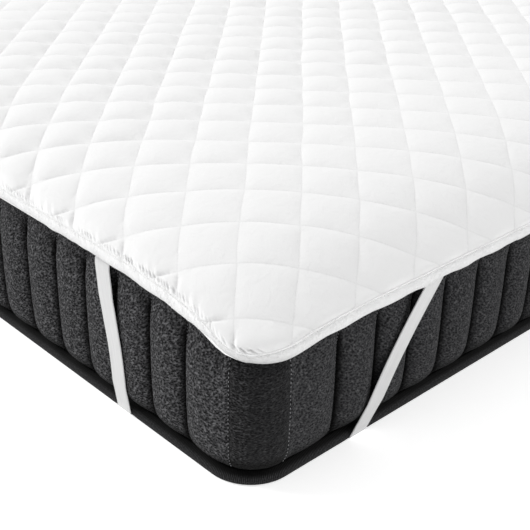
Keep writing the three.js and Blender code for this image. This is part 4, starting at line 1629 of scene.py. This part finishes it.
@dataclass
class Mattress:
    """The plain mattress in its knitted cover: channelled border, smooth top and underside."""

    drape: Drape
    border: BorderShape
    cover_depth: float = 5.4
    edge_depth: float = 7.4
    # Inset from the rim at which the cover starts to lie deeper, and over what length.
    edge_from: float = 120.0
    edge_over: float = 95.0
    lift: float = 1.8
    insets: tuple[float, ...] = (0, 12, 30, 60, 105, 170, 260)
    # Edge of the cover behind the tape, as distance out of the rim line and height.
    skirt: tuple[tuple[float, float], ...] = (
        (-4.8, 15.6), (-4.7, 13.5), (-3.1, 11.0), (-1.3, 7.8), (-0.8, 4.0), (-1.2, 2.4), (-2.6, 1.8),
        (-12.0, 1.8),
    )
    # Levels of the border's rows, and places of its columns across a channel.
    rows: tuple[float, ...] = (
        0.0, 0.006, 0.02, 0.045, 0.08, 0.12, 0.165, 0.22, 0.29, 0.37, 0.46, 0.55, 0.64, 0.73, 0.81, 0.88,
        0.94, 1.0, 1.06,
    )
    splits: tuple[float, ...] = (
        0, 0.012, 0.032, 0.07, 0.13, 0.23, 0.36, 0.5, 0.64, 0.77, 0.87, 0.93, 0.968, 0.988
    )

    def stations(self) -> Array:
        """Distances round the rim of the cover's columns, which follow its channels."""
        ends = np.append(self.border.seams, self.border.seams[0] + self.drape.perimeter)
        return np.concatenate([a + (b - a) * np.array(self.splits) for a, b in zip(ends, ends[1:])])

    def build(self, finish: bpy.types.Material) -> bpy.types.Object:
        """Makes the covered mattress as one closed mesh."""
        drape, border = self.drape, self.border
        along = self.stations()
        rim, count = drape.rim_at(along), len(along)
        hem, hang = drape.hem(rim), drape.hang_at(rim)
        _, share, panel = border.channel(along + 1e-6)
        puff = border.puff(share)
        long_side = (np.abs(rim.nx) > np.abs(rim.ny)).astype(float)
        rings = []
        for inset in self.insets[::-1]:
            line = drape.rim_at(along, inset)
            widen = float(np.clip((self.edge_from - inset) / self.edge_over, 0, 1))
            depth = self.cover_depth + (self.edge_depth - self.cover_depth) * widen
            rings.append(drape.surface(line.x, line.y, depth))
        rings += [drape.hanging(rim, hang * part, self.edge_depth) for part in (0.3, 0.6)]
        top_rings = len(rings)
        # Painted shade of each ring: none on the top, that of the hollows and the foot on the border, and
        # full on the cover behind the tape.
        hollow_shades = [np.zeros(count)] * top_rings
        for level in self.rows[::-1]:
            z = border.bottom + (hem - border.hem_gap - border.bottom) * level
            out = border.offset(along, z, hem, puff, border.recess(along))
            rings.append(rim.moved(out, z))
            hollow_shades.append(border.hollow_shade(z, hem, out, np.where(long_side > 0, 1 - share, share)))
        rings += [rim.moved(out, z) for out, z in self.skirt]
        hollow_shades += [np.ones(count)] * len(self.skirt)
        points = np.concatenate([*rings, [[0, 0, drape.crown - self.cover_depth], [0, 0, self.lift]]])
        top, base = len(points) - 2, len(points) - 1
        faces = ring_faces(len(rings), count)
        faces += [(after, corner, top) for corner, after, top in fan_faces(0, count, top)]
        faces += fan_faces(top - count, count, base)
        ring_points = np.stack(rings)
        steps = np.linalg.norm(np.diff(ring_points, axis=0), axis=2)
        fallen = np.concatenate([np.zeros((1, count)), np.cumsum(steps, axis=0)])
        # The pattern follows the cloth in and out of the channels at half height.
        girdle = ring_points[top_rings + len(self.rows) // 2]
        girth = np.cumsum(np.linalg.norm(girdle - np.roll(girdle, 1, axis=0), axis=1))
        uv = np.stack([np.tile(girth - girth[0], len(rings)), (fallen - fallen[top_rings - 1]).ravel()], -1)
        uv[-count:] = ring_points[-1][:, :2]
        uv = np.concatenate([uv, [[0, 0], [0, 0]]]) * MM
        piece = closed_mesh("mattress_knit_cover", finish, points, faces, uv, girth[-1] * MM)
        mark(piece, "corner_panel", np.append(np.tile(panel, len(rings)), [0, 0]))
        mark(piece, "long_side", np.append(np.tile(long_side, len(rings)), [0, 0]))
        mark(piece, "hollow_shade", np.append(np.concatenate(hollow_shades), [0, 0]))
        return piece

    def seam_paths(self, corner: bool, out: float) -> list[Array]:
        """Lines down the border's seams.

        Args:
            corner: Whether to give the seams beside the corner panels, or all the others.
            out: How far the line stands out of the seam.
        Returns:
            The points of each line, from the hem down.
        """
        drape, border = self.drape, self.border
        beside = set(border.panels) | {int(p) + 1 for p in border.panels}
        paths = []
        for number, seam in enumerate(border.seams):
            if (number in beside) != corner:
                continue
            rim = drape.rim_at(np.array([seam]))
            hem = float(drape.hem(rim)[0])
            z = np.linspace(hem - 1, border.bottom + 5, 48)
            here = np.full_like(z, seam)
            offset = border.offset(here, z, np.full_like(z, hem), 0.0, border.recess(here))
            line = Rim(*(np.repeat(a, len(z)) for a in (rim.x, rim.y, rim.nx, rim.ny, rim.from_corner)))
            paths.append(line.moved(offset + out, z))
        return paths

    def stitching(self, tree: bpy.types.NodeTree) -> list[bpy.types.Object]:
        """Makes the stitches of the border's seams."""
        bold = {"Pitch": 0.0052, "Stitch length": 0.0026, "Thread radius": 0.00040}
        fine = {"Pitch": 0.0042, "Stitch length": 0.0030, "Thread radius": 0.00040}
        made = []
        for place, corner, out, sizes, thread in (
            ("corner", True, 0.5, bold, Thread.PALE), ("channel", False, 0.4, fine, Thread.GREY)
        ):
            paths, name = self.seam_paths(corner, out), f"mattress_{place}_stitches"
            made.append(Sewing.run(name, tree, paths, False, sizes, thread.finish()))
        return made


@dataclass
class BottomTape:
    """Ribbed tape sewn round the mattress's bottom edge: a soft roll under the channels."""

    drape: Drape
    straps: CornerStraps
    spacing: float = 3.0
    strap_lift: float = 1.5
    lifted_under: float = 1.05
    stitch_line: tuple[float, float] = (5.45, 4.6)
    # Section, as distance out of the rim line and height.
    section: tuple[tuple[float, float], ...] = (
        (-3.4, 14.6), (-2.2, 13.9), (-0.6, 12.6), (1.4, 11.0), (3.2, 9.2), (4.5, 7.3), (5.3, 5.1), (5.4, 1.8),
        (5.1, 0.9), (4.3, 0.3), (-1.6, 0.3), (-1.6, 0.7), (-0.2, 1.4), (0.0, 4.0), (-0.4, 8.0),
        (-2.0, 11.6), (-3.9, 14.0),
    )

    def lifted(self, along: Array) -> Array:
        """How far the tape's lower edge is pressed up where straps pass under it, round the rim."""
        raised, reach = np.zeros_like(along), self.straps.width / 2
        for route in self.straps.routes:
            for foot in self.straps.feet(route):
                away = np.abs(self.drape.past(along, foot))
                raised = np.maximum(raised, 1 - smooth_step(away, reach + 1.5, reach + 6))
        return self.strap_lift * raised

    def build(self, finish: bpy.types.Material) -> bpy.types.Object:
        """Makes the tape as one closed mesh."""
        drape = self.drape
        count = round(drape.perimeter / self.spacing)
        along = np.arange(count) * drape.perimeter / count
        rim, lifted = drape.rim_at(along), self.lifted(along)
        rings = [rim.moved(out, z + lifted * (z < self.lifted_under)) for out, z in self.section]
        return swept_band("mattress_bottom_tape", finish, drape, rings, self.section)

    def stitching(self, tree: bpy.types.NodeTree) -> bpy.types.Object:
        """Makes the stitch line along the tape."""
        along = np.arange(0, self.drape.perimeter, 4.0)
        path = self.drape.rim_at(along).moved(*self.stitch_line)
        sizes = {"Pitch": 0.0045, "Stitch length": 0.0034, "Thread radius": 0.00034}
        return Sewing.run("mattress_tape_stitches", tree, [path], True, sizes, Thread.BLACK.finish())


# ---- Studio --------------------------------------------------------------------------------------------


@dataclass
class Softbox:
    """One soft studio light."""

    name: str
    place: tuple[float, float, float]
    target: tuple[float, float, float]
    size: float
    power: float

    def build(self) -> None:
        """Hangs the light."""
        light = bpy.data.lights.new(self.name, "AREA")
        light.shape, light.size, light.energy = "SQUARE", self.size, self.power
        lamp = placed(self.name, light)
        lamp.location = self.place
        aim = Vector(self.target) - Vector(self.place)
        lamp.rotation_euler = aim.to_track_quat("-Z", "Y").to_euler()


@dataclass
class Studio:
    """Pale floor, soft light and the camera."""

    eye: tuple[float, float, float] = (1.331, -1.586, 0.735)
    heading: float = 43.79
    pitch: float = 27.73
    roll: float = 1.30
    lens: float = 70.1
    sensor: float = 36.0
    sight: float = 120.0
    ambient: float = 0.53
    floor_reach: float = 40.0
    floor_colour: str = "#fbfbfb"
    floor_glow: float = 0.485
    softboxes: tuple[Softbox, ...] = (
        Softbox("softbox_left", (-11.7, -7.1, 11.9), (0.2, -0.5, 0.15), 8.6, 2085.0),
        Softbox("softbox_right", (6.6, 8.0, 7.2), (0.5, -0.4, 0.1), 4.2, 415.0),
    )

    def floor(self) -> bpy.types.Object:
        """Makes the floor."""
        mesh, reach = bpy.data.meshes.new("studio_floor"), self.floor_reach
        corners = [(-reach, -reach, 0), (reach, -reach, 0), (reach, reach, 0), (-reach, reach, 0)]
        mesh.from_pydata(corners, [], [(0, 1, 2, 3)])
        material = bpy.data.materials.new("matt_white_paper")
        material.use_nodes = True
        paper = {
            "Base Color": linear(self.floor_colour), "Roughness": 1.0, "Specular IOR Level": 0.0,
            "Emission Color": (1, 1, 1, 1), "Emission Strength": self.floor_glow,
        }
        connect(material.node_tree, material.node_tree.nodes["Principled BSDF"], paper)
        mesh.materials.append(material)
        return placed("studio_floor", mesh)

    def camera(self) -> None:
        """Places the camera."""
        g, p, r = (math.radians(a) for a in (self.heading, self.pitch, self.roll))
        ahead = Vector((-math.cos(g), math.sin(g), 0))
        side = Vector((math.sin(g), math.cos(g), 0))
        above = Vector((0, 0, 1))
        forward = ahead * math.cos(p) - above * math.sin(p)
        up = ahead * math.sin(p) + above * math.cos(p)
        right = side * math.cos(r) + up * math.sin(r)
        top = up * math.cos(r) - side * math.sin(r)
        data = bpy.data.cameras.new("camera")
        data.lens, data.sensor_width, data.clip_end = self.lens, self.sensor, self.sight
        camera = placed("camera", data)
        turn = Matrix((right, top, -forward)).transposed().to_4x4()
        camera.matrix_world = Matrix.Translation(Vector(self.eye)) @ turn
        bpy.context.scene.camera = camera

    def build(self) -> None:
        """Sets up the studio."""
        scene = bpy.context.scene
        scene.view_settings.view_transform = "Standard"
        world = bpy.data.worlds.new("studio")
        world.use_nodes = True
        sky = {"Color": (1, 1, 1, 1), "Strength": self.ambient}
        connect(world.node_tree, world.node_tree.nodes["Background"], sky)
        scene.world = world
        for softbox in self.softboxes:
            softbox.build()
        self.floor()
        self.camera()


# ---- Assembly ------------------------------------------------------------------------------------------


def measured_drape() -> Drape:
    """The cloth's drape, with its outline taken from the CAD model."""
    tape_low, tape_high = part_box("mattress_tape")
    _, pad_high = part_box("protector_pad")
    tape_face = 4.6
    size = (tape_high - tape_low) / MM
    return Drape(size.x / 2 - tape_face, size.y / 2 - tape_face, pad_high.z / MM)


def report(piece: bpy.types.Object, slot: str, *nodes: str) -> bpy.types.Object:
    """Puts a finished piece on its body and reports it.

    Args:
        piece: The piece.
        slot: Name of the record's material slot; not used.
        nodes: CAD nodes that it stands for.
    Returns:
        The piece.
    """
    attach(piece, BODY)
    if nodes:
        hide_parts(*nodes)
    triangles = sum(len(face.vertices) - 2 for face in piece.data.polygons)
    LOG.info("%s: %d triangles", piece.name, triangles)
    return piece


def main() -> None:
    """Builds the protector, the mattress and the studio."""
    logging.basicConfig(level=logging.INFO, format="%(message)s")
    drape = measured_drape()
    border = BorderShape(drape)
    stitches, cords = Sewing.stitch_tree(), Sewing.cord_tree()

    pad = QuiltedPad(drape)
    sheet = report(pad.build(QuiltedCotton().build()), "quilted_cotton", "protector_pad")
    binding = EdgeBinding(drape, border)
    edge = report(binding.build(BiasBinding().build()), "bias_binding", "protector_binding")
    seam = report(binding.stitching(stitches), "bias_binding")

    straps = CornerStraps(drape, border)
    made_straps = straps.build(KnitElastic().build(), cords)
    for route, strap, ribs in made_straps:
        report(strap, "elastic", f"protector_strap_{route.name}")
        report(ribs, "elastic")

    mattress = Mattress(drape, border)
    cover = report(mattress.build(BorderKnit().build()), "border_knit", "mattress")
    for stitching in mattress.stitching(stitches):
        report(stitching, "border_knit")
    tape = BottomTape(drape, straps)
    report(tape.build(WovenTape().build()), "woven_tape", "mattress_tape")
    report(tape.stitching(stitches), "woven_tape")

    for route, strap, ribs in made_straps:
        centre, _ = straps.middle_line(route)
    Studio().build()


if __name__ == "__main__":
    main()
